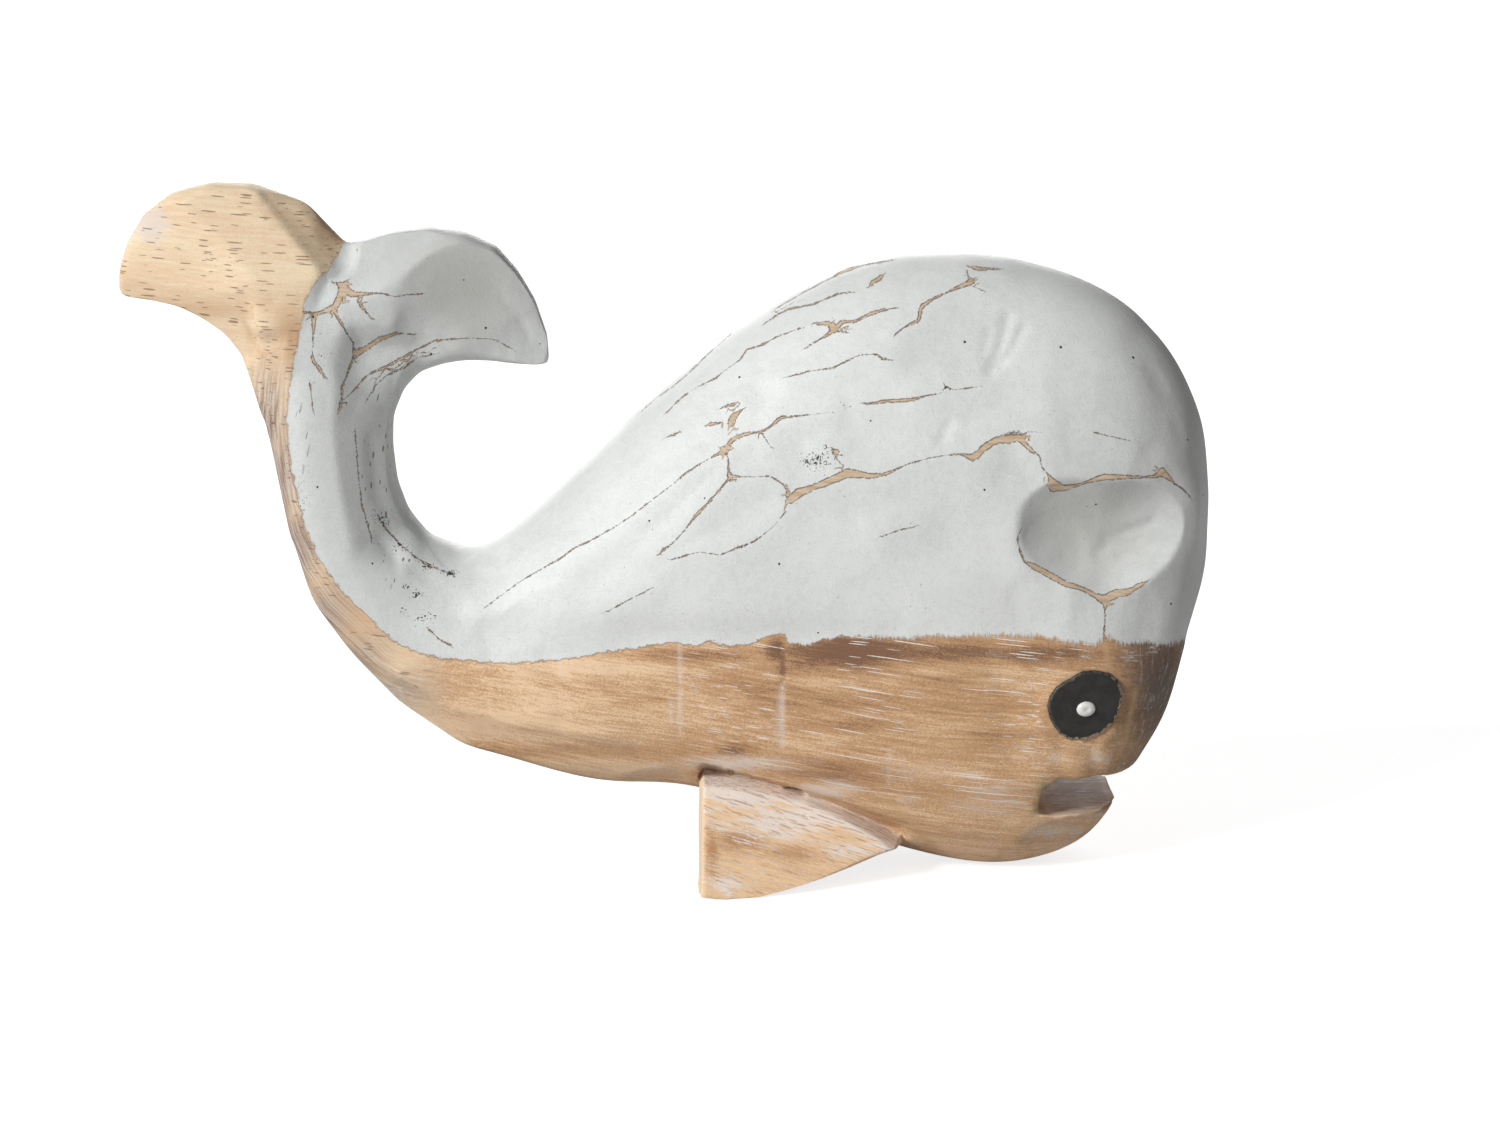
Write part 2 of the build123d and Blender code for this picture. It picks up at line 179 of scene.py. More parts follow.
# Soft patches on body and fins, each as pixel across and down, reach across and down, strength
softPatches = {
    # lime wash left in the grain
    "washed": [
        (1098, 757, 14, 14, 1.0), (1056, 758, 12, 12, 0.9), (1150, 700, 36, 60, 0.4),
        (1080, 800, 36, 14, 1.3), (1110, 795, 12, 14, 1.1), (1125, 735, 10, 16, 0.6),
        (1050, 832, 50, 14, 1.0), (1075, 845, 50, 16, 0.8), (985, 800, 60, 26, 0.85),
        (920, 772, 60, 20, 0.7), (745, 796, 46, 15, 1.1), (810, 818, 60, 13, 1.1),
        (770, 825, 50, 18, 0.8), (725, 884, 22, 12, 0.9), (860, 850, 40, 10, 0.7),
        (700, 768, 90, 10, 0.9), (620, 745, 90, 14, 0.6), (1030, 745, 40, 40, 0.5),
        (350, 655, 40, 24, 0.5), (150, 225, 26, 24, 1.4), (905, 800, 30, 6, 1.0),
        (640, 700, 14, 30, 0.4), (900, 845, 60, 12, 0.6), (1010, 655, 70, 10, 0.5),
        (900, 765, 14, 24, 0.6), (1088, 655, 14, 14, 0.8), (1130, 655, 18, 14, 0.8),
        (1060, 660, 20, 12, 0.5), (1150, 650, 30, 16, 0.6), (1000, 790, 40, 16, 0.4),
        (960, 835, 40, 10, 0.6), (735, 764, 75, 11, 1.3), (830, 790, 46, 12, 1.2),
        (1110, 765, 30, 20, 0.8), (400, 690, 60, 22, 0.7), (1000, 842, 34, 10, 0.7),
    ],
    # warmer or darker wood, with painted shade on the notch wall, the left fluke's lower bevel, the
    # snout's front and under the belly
    "tanAndShade": [
        (850, 652, 80, 18, 1.1), (930, 652, 100, 12, 0.6), (1040, 654, 70, 10, 0.6),
        (900, 690, 130, 10, 0.15), (690, 655, 120, 9, 0.5), (850, 702, 60, 14, 0.3),
        (800, 664, 40, 14, 0.6), (930, 712, 90, 8, 0.15), (776, 650, 14, 14, 1.0),
        (1160, 670, 40, 50, 0.8), (1180, 730, 44, 80, 0.8), (1150, 775, 40, 30, 0.7),
        (740, 840, 34, 12, 0.8), (800, 852, 40, 10, 0.5), (712, 850, 8, 30, 0.7),
        (782, 662, 3, 24, 0.9), (540, 655, 90, 6, 0.4), (430, 680, 80, 26, 0.3),
        (292, 335, 18, 34, 1.0), (262, 300, 16, 10, 0.5), (850, 770, 60, 16, 0.3),
        (520, 752, 160, 12, 0.5), (335, 215, 20, 32, 1.0), (700, 770, 40, 12, 0.3),
        (760, 690, 60, 8, 0.35), (590, 685, 70, 12, 0.3), (190, 312, 70, 10, 0.6),
        (735, 750, 22, 7, 0.5), (345, 630, 60, 40, 0.8), (320, 590, 30, 40, 0.5),
        (790, 700, 90, 14, 0.25), (730, 680, 40, 8, 0.3), (850, 725, 60, 7, 0.4),
        (950, 680, 40, 6, 0.4), (640, 700, 30, 6, 0.35), (1000, 735, 50, 6, 0.35),
    ],
    # painted shade: dark grey wood on the snout's front, the mouth's ledge and corner, the notch
    # wall and under the belly and stem
    "paintedShade": [
        (1080, 796, 38, 14, 0.8), (1162, 690, 34, 60, 0.85), (1160, 745, 30, 44, 0.75),
        (1190, 650, 16, 50, 0.85), (1178, 730, 34, 70, 0.95), (325, 225, 22, 26, 0.35),
        (560, 775, 160, 9, 0.35), (365, 690, 50, 12, 0.3), (1045, 790, 6, 14, 0.4),
    ],
    # greyer paint: some grime, and painted shade in the hollow, on the right fluke, on the stem's
    # inner face and on the head's front
    "grimeAndShade": [
        (1090, 528, 66, 50, 1.1), (465, 285, 64, 64, 1.15), (1180, 440, 50, 120, 0.5),
        (360, 470, 60, 90, 0.4), (1190, 580, 20, 50, 0.5), (700, 625, 200, 12, 0.25),
        (1000, 600, 60, 30, 0.2),
    ],
    # green specks in the corner of the mouth
    "mossy": [
        (1047, 789, 7, 7, 0.9), (1038, 806, 5, 6, 0.5),
    ],
    # the stem's bare edge, where the grain stands upright
    "upright": [
        (268, 420, 22, 60, 1.2), (278, 480, 26, 60, 1.3), (296, 550, 28, 50, 1.3),
        (325, 615, 30, 40, 1.1), (360, 660, 34, 30, 0.9), (400, 690, 40, 24, 0.6),
    ],
    # short dark slits in the paint
    "slits": [
        (385, 430, 22, 60, 1.0), (375, 500, 20, 50, 1.0), (300, 440, 16, 60, 0.6),
        (400, 560, 30, 40, 0.7),
    ],
    # small broken spots in the paint
    "crumbled": [
        (815, 460, 18, 10, 1.0), (425, 617, 12, 7, 0.9), (440, 640, 10, 5, 0.6),
        (416, 594, 6, 5, 1.4), (406, 586, 5, 4, 1.2), (428, 566, 7, 5, 1.2), (450, 573, 8, 4, 1.4),
        (744, 548, 8, 4, 0.8), (661, 552, 5, 4, 0.8), (404, 610, 6, 5, 1.0), (712, 640, 6, 3, 0.7),
        (850, 405, 8, 6, 0.6), (384, 520, 10, 12, 0.9), (400, 545, 12, 10, 0.8),
        (300, 500, 8, 40, 0.45), (320, 360, 5, 14, 0.7),
    ],
}


farAway = 1e6  # pixels, more than any distance in the photo


def lineField(pixels, lines):
    # Distance to the nearest line with a sign for its side, its width there and the plain distance
    best = np.full(len(pixels), farAway)
    side = np.full(len(pixels), farAway)
    width = np.ones(len(pixels))
    for line in lines:
        for start, end in zip(line, line[1:]):
            base = np.array(start[:2], float)
            step = np.array(end[:2], float) - base
            offset = pixels - base
            share = np.clip(offset @ step / (step @ step), 0, 1)
            gap = offset - share[:, None] * step
            distance = np.hypot(gap[:, 0], gap[:, 1])
            lineWidth = start[2] + share * (end[2] - start[2])
            turn = step[0] * offset[:, 1] - step[1] * offset[:, 0]
            closer = distance - lineWidth / 2 < best
            best = np.where(closer, distance - lineWidth / 2, best)
            side = np.where(closer, np.where(turn < 0, -distance, distance), side)
            width = np.where(closer, lineWidth, width)
    return side, width, np.abs(side)


def edgeField(pixels, outline):
    # Signed distance to a closed outline in pixels, more than nothing inside it
    nearest = np.full(len(pixels), farAway)
    inside = np.zeros(len(pixels), bool)
    for start, end in zip(outline, outline[1:] + outline[:1]):
        base = np.array(start, float)
        step = np.array(end, float) - base
        offset = pixels - base
        share = np.clip(offset @ step / (step @ step), 0, 1)
        gap = offset - share[:, None] * step
        nearest = np.minimum(nearest, np.hypot(gap[:, 0], gap[:, 1]))
        crosses = (base[1] > pixels[:, 1]) != (end[1] > pixels[:, 1])
        if step[1]:
            reach = base[0] + (pixels[:, 1] - base[1]) * step[0] / step[1]
            inside ^= crosses & (pixels[:, 0] < reach)
    return np.where(inside, nearest, -nearest)


def patchField(pixels, patches):
    total = np.zeros(len(pixels))
    for across, down, reachAcross, reachDown, strength in patches:
        offset = (pixels - (across, down)) / (reachAcross, reachDown)
        total = np.maximum(total, strength * np.exp(-(offset**2).sum(1)))
    return total


# How the marks sway on the far side, which isn't an exact mirror of the near one
farSide = {
    "start": (0.002, 0.015),  # from the middle plane
    "seeds": (11.0, 47.0),
    "waves": 28,  # per metre
    "reach": 34,  # pixels
}


def warpedPixels(points):
    pixels = photoPixels(points)
    far = smoothStep(*farSide["start"], points[:, 1])
    for axis, seed in enumerate(farSide["seeds"]):
        shift = Vector((seed, 0, 0))
        sway = [noise.noise(Vector(point) * farSide["waves"] + shift) for point in points]
        pixels[:, axis] += far * np.array(sway) * farSide["reach"]
    return pixels


def meshPoints(mesh):
    points = np.empty(len(mesh.vertices) * 3)
    mesh.vertices.foreach_get("co", points)
    return points.reshape(-1, 3)


def meshNormals(mesh):
    normals = np.empty(len(mesh.vertices) * 3)
    mesh.vertices.foreach_get("normal", normals)
    return normals.reshape(-1, 3)


def setPoints(mesh, points):
    mesh.vertices.foreach_set("co", points.ravel())
    mesh.update()


def addField(mesh, name, values):
    field = mesh.attributes.new(name, "FLOAT", "POINT")
    field.data.foreach_set("value", values.astype(np.float32))


def meshFrom(work, name):
    mesh = bpy.data.meshes.new(name)
    work.to_mesh(mesh)
    work.free()
    return mesh


def addObject(name, data):
    made = bpy.data.objects.new(name, data)
    bpy.context.collection.objects.link(made)
    return made


def addPiece(name, mesh, material):
    piece = addObject(name, mesh)
    mesh.materials.clear()
    mesh.materials.append(material)
    mesh.shade_smooth()
    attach(piece, "root")
    return piece


def mergedCopy(name, node):
    # A copy of a block with its loose triangles joined
    work = bmesh.new()
    work.from_mesh(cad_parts[node].data)
    bmesh.ops.remove_doubles(work, verts=work.verts, dist=0.005 * millimetre)
    return addObject(name, meshFrom(work, name))


def keepLargestIsland(work):
    unseen = set(work.verts)
    islands = []
    while unseen:
        start = unseen.pop()
        island = [start]
        for vert in island:
            for edge in vert.link_edges:
                other = edge.other_vert(vert)
                if other in unseen:
                    unseen.remove(other)
                    island.append(other)
        islands.append(island)
    islands.sort(key=len)
    for island in islands[:-1]:
        bmesh.ops.delete(work, geom=island, context="VERTS")


def remeshed(name, base, others, voxel, rounds):
    # One even skin over the joined blocks, without what the blocks hide inside
    for other in others:
        join = base.modifiers.new("join", "BOOLEAN")
        join.operation = "UNION"
        join.solver = "EXACT"
        join.object = other
    skin = base.modifiers.new("skin", "REMESH")
    skin.mode = "VOXEL"
    skin.voxel_size = voxel
    skin.adaptivity = 0
    depsgraph = bpy.context.evaluated_depsgraph_get()
    mesh = bpy.data.meshes.new_from_object(base.evaluated_get(depsgraph))
    mesh.name = name
    for used in [base] + others:
        bpy.data.objects.remove(used)
    work = bmesh.new()
    work.from_mesh(mesh)
    keepLargestIsland(work)
    for _ in range(rounds):
        bmesh.ops.smooth_vert(
            work, verts=work.verts, factor=0.5, use_axis_x=True, use_axis_y=True, use_axis_z=True
        )
    bmesh.ops.recalc_face_normals(work, faces=work.faces)
    work.to_mesh(mesh)
    work.free()
    mesh.update()
    return mesh


# Shader helpers


def fillInputs(tree, node, inputs):
    # Links sockets and sets constants
    for name, value in inputs.items():
        if isinstance(value, bpy.types.NodeSocket):
            tree.links.new(value, node.inputs[name])
        else:
            node.inputs[name].default_value = value


def addNode(tree, kind, inputs=None, **settings):
    node = tree.nodes.new(kind)
    for name, value in settings.items():
        setattr(node, name, value)
    fillInputs(tree, node, inputs or {})
    return node


def calc(tree, operation, first, second=0.0, third=0.0):
    node = addNode(tree, "ShaderNodeMath", {0: first, 1: second, 2: third}, operation=operation)
    return node.outputs[0]


def spread(tree, value, low, high, toLow=0.0, toHigh=1.0):
    # A smooth step from one range to another
    node = addNode(
        tree,
        "ShaderNodeMapRange",
        {"Value": value, "From Min": low, "From Max": high, "To Min": toLow, "To Max": toHigh},
        interpolation_type="SMOOTHSTEP",
    )
    return node.outputs["Result"]


def stretched(tree, position, scale, turn=(0, 0, 0)):
    inputs = {"Vector": position, "Scale": scale, "Rotation": [math.radians(a) for a in turn]}
    return addNode(tree, "ShaderNodeMapping", inputs).outputs["Vector"]


def noiseAt(tree, position, scale, detail=3.0, roughness=0.5):
    inputs = {"Vector": position, "Scale": scale, "Detail": detail, "Roughness": roughness}
    return addNode(tree, "ShaderNodeTexNoise", inputs).outputs["Fac"]


def blend(tree, share, under, over, mode="MIX"):
    node = addNode(tree, "ShaderNodeMix", {"Factor": share}, data_type="RGBA", blend_type=mode)
    for socket, value in (("A_Color", under), ("B_Color", over)):
        target = next(s for s in node.inputs if s.identifier == socket)
        if isinstance(value, bpy.types.NodeSocket):
            tree.links.new(value, target)
        else:
            target.default_value = (*value, 1)
    return next(s for s in node.outputs if s.identifier == "Result_Color")


def fieldOf(tree, name):
    return addNode(tree, "ShaderNodeAttribute", attribute_name=name).outputs["Fac"]


def newGroup(name, inputs, outputs):
    group = bpy.data.node_groups.new(name, "ShaderNodeTree")
    for socket, kind, value in inputs:
        made = group.interface.new_socket(socket, in_out="INPUT", socket_type=kind)
        if value is not None:
            made.default_value = value
    for socket, kind in outputs:
        group.interface.new_socket(socket, in_out="OUTPUT", socket_type=kind)
    start = group.nodes.new("NodeGroupInput")
    end = group.nodes.new("NodeGroupOutput")
    return group, start.outputs, end.inputs


def newMaterial(name):
    material = bpy.data.materials.new(name)
    material.use_nodes = True
    tree = material.node_tree
    tree.nodes.clear()
    shader = tree.nodes.new("ShaderNodeBsdfPrincipled")
    output = tree.nodes.new("ShaderNodeOutputMaterial")
    tree.links.new(shader.outputs[0], output.inputs[0])
    position = addNode(tree, "ShaderNodeTexCoord").outputs["Object"]
    inMillimetres = stretched(tree, position, (1000, 1000, 1000))
    return material, tree, shader, inMillimetres


def placeGroup(tree, group, inputs):
    node = tree.nodes.new("ShaderNodeGroup")
    node.node_tree = group
    fillInputs(tree, node, inputs)
    return node.outputs


def addBump(tree, shader, height, strength, distance):
    inputs = {"Height": height, "Strength": strength, "Distance": distance}
    bump = addNode(tree, "ShaderNodeBump", inputs)
    tree.links.new(bump.outputs[0], shader.inputs["Normal"])


# The wood's grain: its growth bands, its fibres and its pores, all lengths in millimetres


def makeGrain():
    group, given, made = newGroup(
        "openGrain",
        [
            ("Position", "NodeSocketVector", None),
            ("Slope", "NodeSocketVector", None),
            ("Pore Length", "NodeSocketFloat", 9.0),
            ("Pore Width", "NodeSocketFloat", 0.9),
            ("Pore Share", "NodeSocketFloat", 0.4),
        ],
        [
            ("Bands", "NodeSocketFloat"),
            ("Fibres", "NodeSocketFloat"),
            ("Pores", "NodeSocketFloat"),
        ],
    )
    turned = addNode(
        group,
        "ShaderNodeVectorRotate",
        {"Vector": given["Position"], "Rotation": given["Slope"]},
        rotation_type="EULER_XYZ",
    ).outputs[0]
    sway = addNode(
        group, "ShaderNodeTexNoise", {"Vector": turned, "Scale": 0.02, "Detail": 1.0}
    ).outputs["Color"]
    swayed = addNode(
        group, "ShaderNodeVectorMath", {0: sway, 1: (4, 4, 4), 2: turned}, operation="MULTIPLY_ADD"
    ).outputs[0]
    bands = noiseAt(group, stretched(group, swayed, (0.010, 0.10, 0.10)), 1.0, 4.0, 0.55)
    fibres = noiseAt(group, stretched(group, swayed, (0.07, 1.5, 1.5)), 1.0, 5.0, 0.75)
    group.links.new(bands, made["Bands"])
    group.links.new(fibres, made["Fibres"])
    along = calc(group, "DIVIDE", 1.0, given["Pore Length"])
    athwart = calc(group, "DIVIDE", 1.0, given["Pore Width"])
    scale = addNode(group, "ShaderNodeCombineXYZ", {0: along, 1: athwart, 2: athwart}).outputs[0]
    cells = addNode(
        group, "ShaderNodeVectorMath", {0: swayed, 1: scale}, operation="MULTIPLY"
    ).outputs[0]
    pore = addNode(group, "ShaderNodeTexVoronoi", {"Vector": cells, "Scale": 1.0}, feature="F1")
    parts = addNode(group, "ShaderNodeSeparateColor", {0: pore.outputs["Color"]}).outputs
    kept = calc(group, "LESS_THAN", parts[0], given["Pore Share"])
    size = calc(group, "MULTIPLY_ADD", parts[1], 0.18, 0.16)
    opened = calc(group, "SUBTRACT", size, pore.outputs["Distance"])
    pores = calc(group, "MULTIPLY", spread(group, opened, 0.0, 0.05), kept)
    group.links.new(pores, made["Pores"])
    return group


grain = makeGrain()


def placeGrain(tree, position, slope, length, width, share):
    # The slope in degrees, then the pores' length, width and share
    inputs = {
        "Position": position,
        "Slope": (0, math.radians(slope), 0),
        "Pore Length": length,
        "Pore Width": width,
        "Pore Share": share,
    }
    return placeGroup(tree, grain, inputs)


# The eye's values, and the plane of its face

eyeShape = {
    "outline": [
        (1048, 708), (1051, 722), (1059, 734), (1069, 740), (1086, 740), (1102, 733), (1115, 722),
        (1122, 704), (1123, 692), (1119, 681), (1111, 674), (1095, 671), (1083, 672), (1069, 680),
        (1057, 688), (1050, 698),
    ],
    "steps": 6,  # points along each side of the outline
    "sunk": 0.45 * millimetre,
    "plugRadius": 9.3 * millimetre,
    "plugDepths": (3.4 * millimetre, 0.75 * millimetre),
    "chip": 0.5 * millimetre,
    "chipWaves": (900, 2400),  # per metre
    "wave": 0.06 * millimetre,
    "faceWaves": 300,
    "wear": (0.35, 90, 0.12),  # at the middle, more per metre to the front and down, and at least
    # share of the radius, depth in millimetres, how much it is chipped and how bare it is
    "rings": [
        (1.0, 2.0, 0, 1), (1.0, 0.45, 0.5, 1), (0.985, 0.2, 1, 1), (0.955, 0.05, 1, 0.7),
        (0.92, 0, 0.4, 0), (0.7, 0, 0, 0), (0.4, 0.02, 0, 0), (0.1, 0.02, 0, 0),
    ],
    "dot": (1086, 709),
    "dotRadii": (2.15 * millimetre, 1.75 * millimetre),
    "dotHeight": 0.95 * millimetre,
    "dotBack": -0.25,  # share of its height
    "dimple": 0.28 * millimetre,
    "dimpleReach": 0.3,  # share of its radius
}


def eyePlane():
    # Front of the eye's disc, the largest face that turns to the near side, sunk a little
    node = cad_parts["right_eye_disc"]
    best = max(node.data.polygons, key=lambda face: (-face.normal.y > 0.5) * face.area)
    return best.center - best.normal * eyeShape["sunk"], best.normal.copy()


# Blocks of body and tail as one carved piece

bodyLook = {
    "pale": (0.88, 0.63, 0.41),
    "mid": (0.60, 0.35, 0.18),
    "dark": (0.24, 0.125, 0.07),
    # dark grey of the painted shade on the wood
    "shadeTone": (0.15, 0.12, 0.10),
    "bared": (0.66, 0.43, 0.235),
    "moss": (0.20, 0.27, 0.12),
    "stripDark": (0.29, 0.19, 0.135),
    "stripPale": (0.63, 0.53, 0.45),
    "flukePale": (0.98, 0.815, 0.57),
    "paint": (0.78, 0.795, 0.775),
    "paintGrey": (0.64, 0.655, 0.64),
    # grey of the grime and of the painted shade on the paint
    "grimeShadeGrey": (0.46, 0.455, 0.42),
    "worn": (0.56, 0.40, 0.25),
    "wornPale": (0.70, 0.56, 0.42),
    "rim": (0.13, 0.085, 0.06),
    "wash": (0.82, 0.73, 0.655),
    "chalk": (0.90, 0.86, 0.80),
    "pit": (0.05, 0.045, 0.04),
    # slope of the grain in degrees, then its pores' length, width and share
    "bodyGrain": (-7.5, 34.0, 0.44, 0.55),
    "flukeGrain": (-4, 7.0, 0.5, 0.55),
    "uprightGrain": (76, 7.0, 0.9, 0.5),
    "rough": (0.42, 0.13, 0.12),  # of paint, more on bare wood, more in specks
    "shine": 0.4,
    "bump": (0.7, 0.0004),
    # where the finish changes along the length, in millimetres from the origin
    "tail": (-60.0, -48.0),
    "paleRear": (-30.0, 20.0),
    "fewPores": (-20.0, 30.0),
    "snout": (101.0, 108.0),
    "brushed": (20.0, 60.0),
    "fringed": (10.0, 50.0),
}


def makeBodyFinish():
    material, tree, shader, position = newMaterial("whitewashedWood")
    look = bodyLook
    place = addNode(tree, "ShaderNodeSeparateXYZ", {0: position}).outputs
    ruffle = noiseAt(tree, position, 0.55, 5.0, 0.62)
    speckle = noiseAt(tree, position, 2.2, 3.0, 0.6)
    grit = noiseAt(tree, stretched(tree, position, (2.4, 4.0, 4.0)), 1.0, 2.0, 0.7)
    body = placeGrain(tree, stretched(tree, position, (1, 0.5, 1)), *look["bodyGrain"])
    fluke = placeGrain(tree, stretched(tree, position, (1, 0.3, 1)), *look["flukeGrain"])
    upright = placeGrain(tree, position, *look["uprightGrain"])
    onTail = spread(tree, place[0], *look["tail"], 1.0, 0.0)

    # Warm wood with darker growth bands and patches, some of them painted shade, paler on the tail
    tone = calc(tree, "MULTIPLY", body["Bands"], 0.7)
    tone = calc(tree, "MULTIPLY_ADD", body["Fibres"], 0.8, tone)
    tone = calc(tree, "MULTIPLY_ADD", speckle, 0.25, tone)
    tone = calc(tree, "MULTIPLY_ADD", grit, 0.55, tone)
    # Darker wood, partly real tone and partly painted shade on faces turned from the light
    tanAndShade = fieldOf(tree, "tanAndShade")
    deep = calc(tree, "ADD", tanAndShade, spread(tree, tone, 0.92, 1.42, 0.0, 0.7))
    deep = calc(tree, "SUBTRACT", deep, spread(tree, place[0], *look["paleRear"], 0.22, 0.0))
    wood = blend(tree, spread(tree, deep, 0.0, 0.55), look["pale"], look["mid"])
    wood = blend(tree, spread(tree, deep, 0.45, 1.15), wood, look["dark"])
    tailTone = calc(tree, "ADD", fluke["Bands"], fluke["Fibres"])
    tailTone = calc(tree, "MULTIPLY_ADD", grit, 0.5, tailTone)
    tailWood = blend(tree, spread(tree, tailTone, 1.0, 1.5), look["flukePale"], look["pale"])
    tailWood = blend(tree, calc(tree, "MULTIPLY", tanAndShade, 0.8), tailWood, look["mid"])
    across = calc(tree, "MULTIPLY", fieldOf(tree, "paintEdge"), 1.5)
    along = calc(tree, "MULTIPLY", calc(tree, "ADD", place[0], place[2]), 0.09)
    alongEdge = addNode(tree, "ShaderNodeCombineXYZ", {0: across, 1: along, 2: 0.0}).outputs[0]
    streaks = noiseAt(tree, alongEdge, 1.0, 5.0, 0.7)
    strip = blend(tree, spread(tree, streaks, 0.38, 0.64), look["stripDark"], look["stripPale"])
    wood = blend(tree, onTail, wood, tailWood)
    wood = blend(tree, calc(tree, "MULTIPLY", fieldOf(tree, "upright"), 0.85), wood, strip)
    # Painted shade: the wood turns dark grey where it lies in shade
    wood = blend(tree, fieldOf(tree, "paintedShade"), wood, look["shadeTone"])

    # Lime wash lies in the pores of the body and in patches along the fibres
    bared = fieldOf(tree, "bared")
    washed = calc(tree, "MULTIPLY_ADD", bared, -1.2, fieldOf(tree, "washed"))
    scored = fieldOf(tree, "scored")
    wet = calc(tree, "MULTIPLY_ADD", washed, 0.30, body["Fibres"])
    film = calc(tree, "MULTIPLY", spread(tree, wet, 0.67, 0.88), 0.8)
    chalk = spread(tree, speckle, 0.36, 0.55)
    scratch = calc(tree, "MULTIPLY", scored, calc(tree, "MULTIPLY_ADD", chalk, 0.5, 0.2))
    sideways = addNode(tree, "ShaderNodeTexCoord").outputs["Normal"]
    sideways = addNode(tree, "ShaderNodeSeparateXYZ", {0: sideways}).outputs[1]
    sideways = calc(tree, "ABSOLUTE", sideways)
    onFace = spread(tree, sideways, 0.5, 0.8)
    onSnout = spread(tree, place[0], *look["snout"])
    onFlank = spread(tree, sideways, 0.86, 0.95)
    onFlank = calc(tree, "MULTIPLY", onFlank, calc(tree, "SUBTRACT", 1.0, onSnout))
    porous = spread(tree, place[0], *look["fewPores"], 0.1, 1.0)
    onFlank = calc(tree, "MULTIPLY", onFlank, porous)
    palePores = calc(tree, "MULTIPLY", body["Pores"], calc(tree, "SUBTRACT", onFlank, onTail))
    palePores = calc(tree, "MULTIPLY", palePores, calc(tree, "MULTIPLY_ADD", chalk, 0.4, 0.6))
    strokes = noiseAt(tree, stretched(tree, position, (1.2, 1.2, 0.16), (0, 24, 0)), 1.0, 4.0, 0.7)
    strokes = calc(tree, "MULTIPLY", spread(tree, strokes, 0.52, 0.68, 0.0, 0.4), onSnout)
    film = calc(tree, "MAXIMUM", film, strokes)
    wood = blend(tree, calc(tree, "MAXIMUM", film, scratch), wood, look["wash"])
    wood = blend(tree, calc(tree, "MAXIMUM", palePores, 0.0), wood, look["chalk"])
    wood = blend(tree, calc(tree, "MULTIPLY", bared, 0.6), wood, look["bared"])
    moss = calc(tree, "MULTIPLY", fieldOf(tree, "mossy"), spread(tree, ruffle, 0.45, 0.6))
    wood = blend(tree, moss, wood, look["moss"])
    darkPores = calc(tree, "MULTIPLY", fluke["Pores"], calc(tree, "MULTIPLY", onTail, onFace))
    wood = blend(tree, calc(tree, "MULTIPLY", darkPores, 0.7), wood, look["dark"])

    # Paint, brushed out to hairs near the head
    edge = fieldOf(tree, "paintEdge")
    brushed = spread(tree, place[0], *look["brushed"], 0.8, 3.4)
    hairs = noiseAt(tree, stretched(tree, position, (2.6, 2.6, 0.35)), 1.0, 4.0, 0.7)
    hairs = calc(tree, "SUBTRACT", hairs, 0.5)
    ruffled = calc(tree, "MULTIPLY", calc(tree, "SUBTRACT", ruffle, 0.5), 2.4)
    shift = calc(tree, "MULTIPLY_ADD", hairs, brushed, ruffled)
    shifted = calc(tree, "ADD", edge, shift)
    fuzzy = spread(tree, place[0], *look["brushed"], 0.14, 0.7)
    covered = spread(tree, shifted, calc(tree, "MULTIPLY", fuzzy, -1.0), fuzzy)
    cloud = noiseAt(tree, position, 0.035, 3.0, 0.5)
    dusty = calc(tree, "MULTIPLY", spread(tree, speckle, 0.42, 0.62), 0.22)
    mottleAndShade = calc(tree, "ADD", spread(tree, cloud, 0.35, 0.7, 0.0, 0.45), dusty)
    # The paint is greyer over the whole tail, partly dust and partly painted shade
    mottleAndShade = calc(tree, "MINIMUM", calc(tree, "MULTIPLY_ADD", onTail, 0.55, mottleAndShade), 1.0)
    smears = spread(tree, ruffle, 0.42, 0.62, -0.10, 0.12)
    mottleAndShade = calc(tree, "MAXIMUM", calc(tree, "ADD", mottleAndShade, smears), 0.0)
    paint = blend(tree, mottleAndShade, look["paint"], look["paintGrey"])
    # Some grime and painted shade: the paint turns grey in the hollow, on the tail and on the
    # head's front
    paint = blend(tree, calc(tree, "MULTIPLY", fieldOf(tree, "grimeAndShade"), 0.6), paint, look["grimeShadeGrey"])

    # Ridges rubbed through the paint, with dark rims
    side = calc(tree, "ABSOLUTE", fieldOf(tree, "ridgeSide"))
    near = fieldOf(tree, "ridgeNear")
    width = fieldOf(tree, "ridgeWidth")
    ragged = calc(tree, "MULTIPLY", calc(tree, "SUBTRACT", ruffle, 0.5), 0.9)
    half = calc(tree, "MULTIPLY_ADD", width, 0.5, ragged)
    half = calc(tree, "SUBTRACT", half, 0.14)
    beyond = calc(tree, "SUBTRACT", side, half)
    close = spread(tree, calc(tree, "MULTIPLY_ADD", width, -0.5, near), 0.8, 1.2, 1.0, 0.0)
    rubbed = calc(tree, "MULTIPLY", spread(tree, beyond, -0.07, 0.05, 1.0, 0.0), close)
    rim = spread(tree, calc(tree, "ABSOLUTE", beyond), 0.05, 0.26, 1.0, 0.0)
    flecked = spread(tree, speckle, 0.36, 0.5)
    rim = calc(tree, "MULTIPLY", calc(tree, "MULTIPLY", rim, close), flecked)
    worn = blend(tree, spread(tree, body["Fibres"], 0.4, 0.6), look["wornPale"], look["worn"])
    paint = blend(tree, rubbed, paint, worn)
    paint = blend(tree, calc(tree, "MULTIPLY", rim, 0.8), paint, look["rim"])

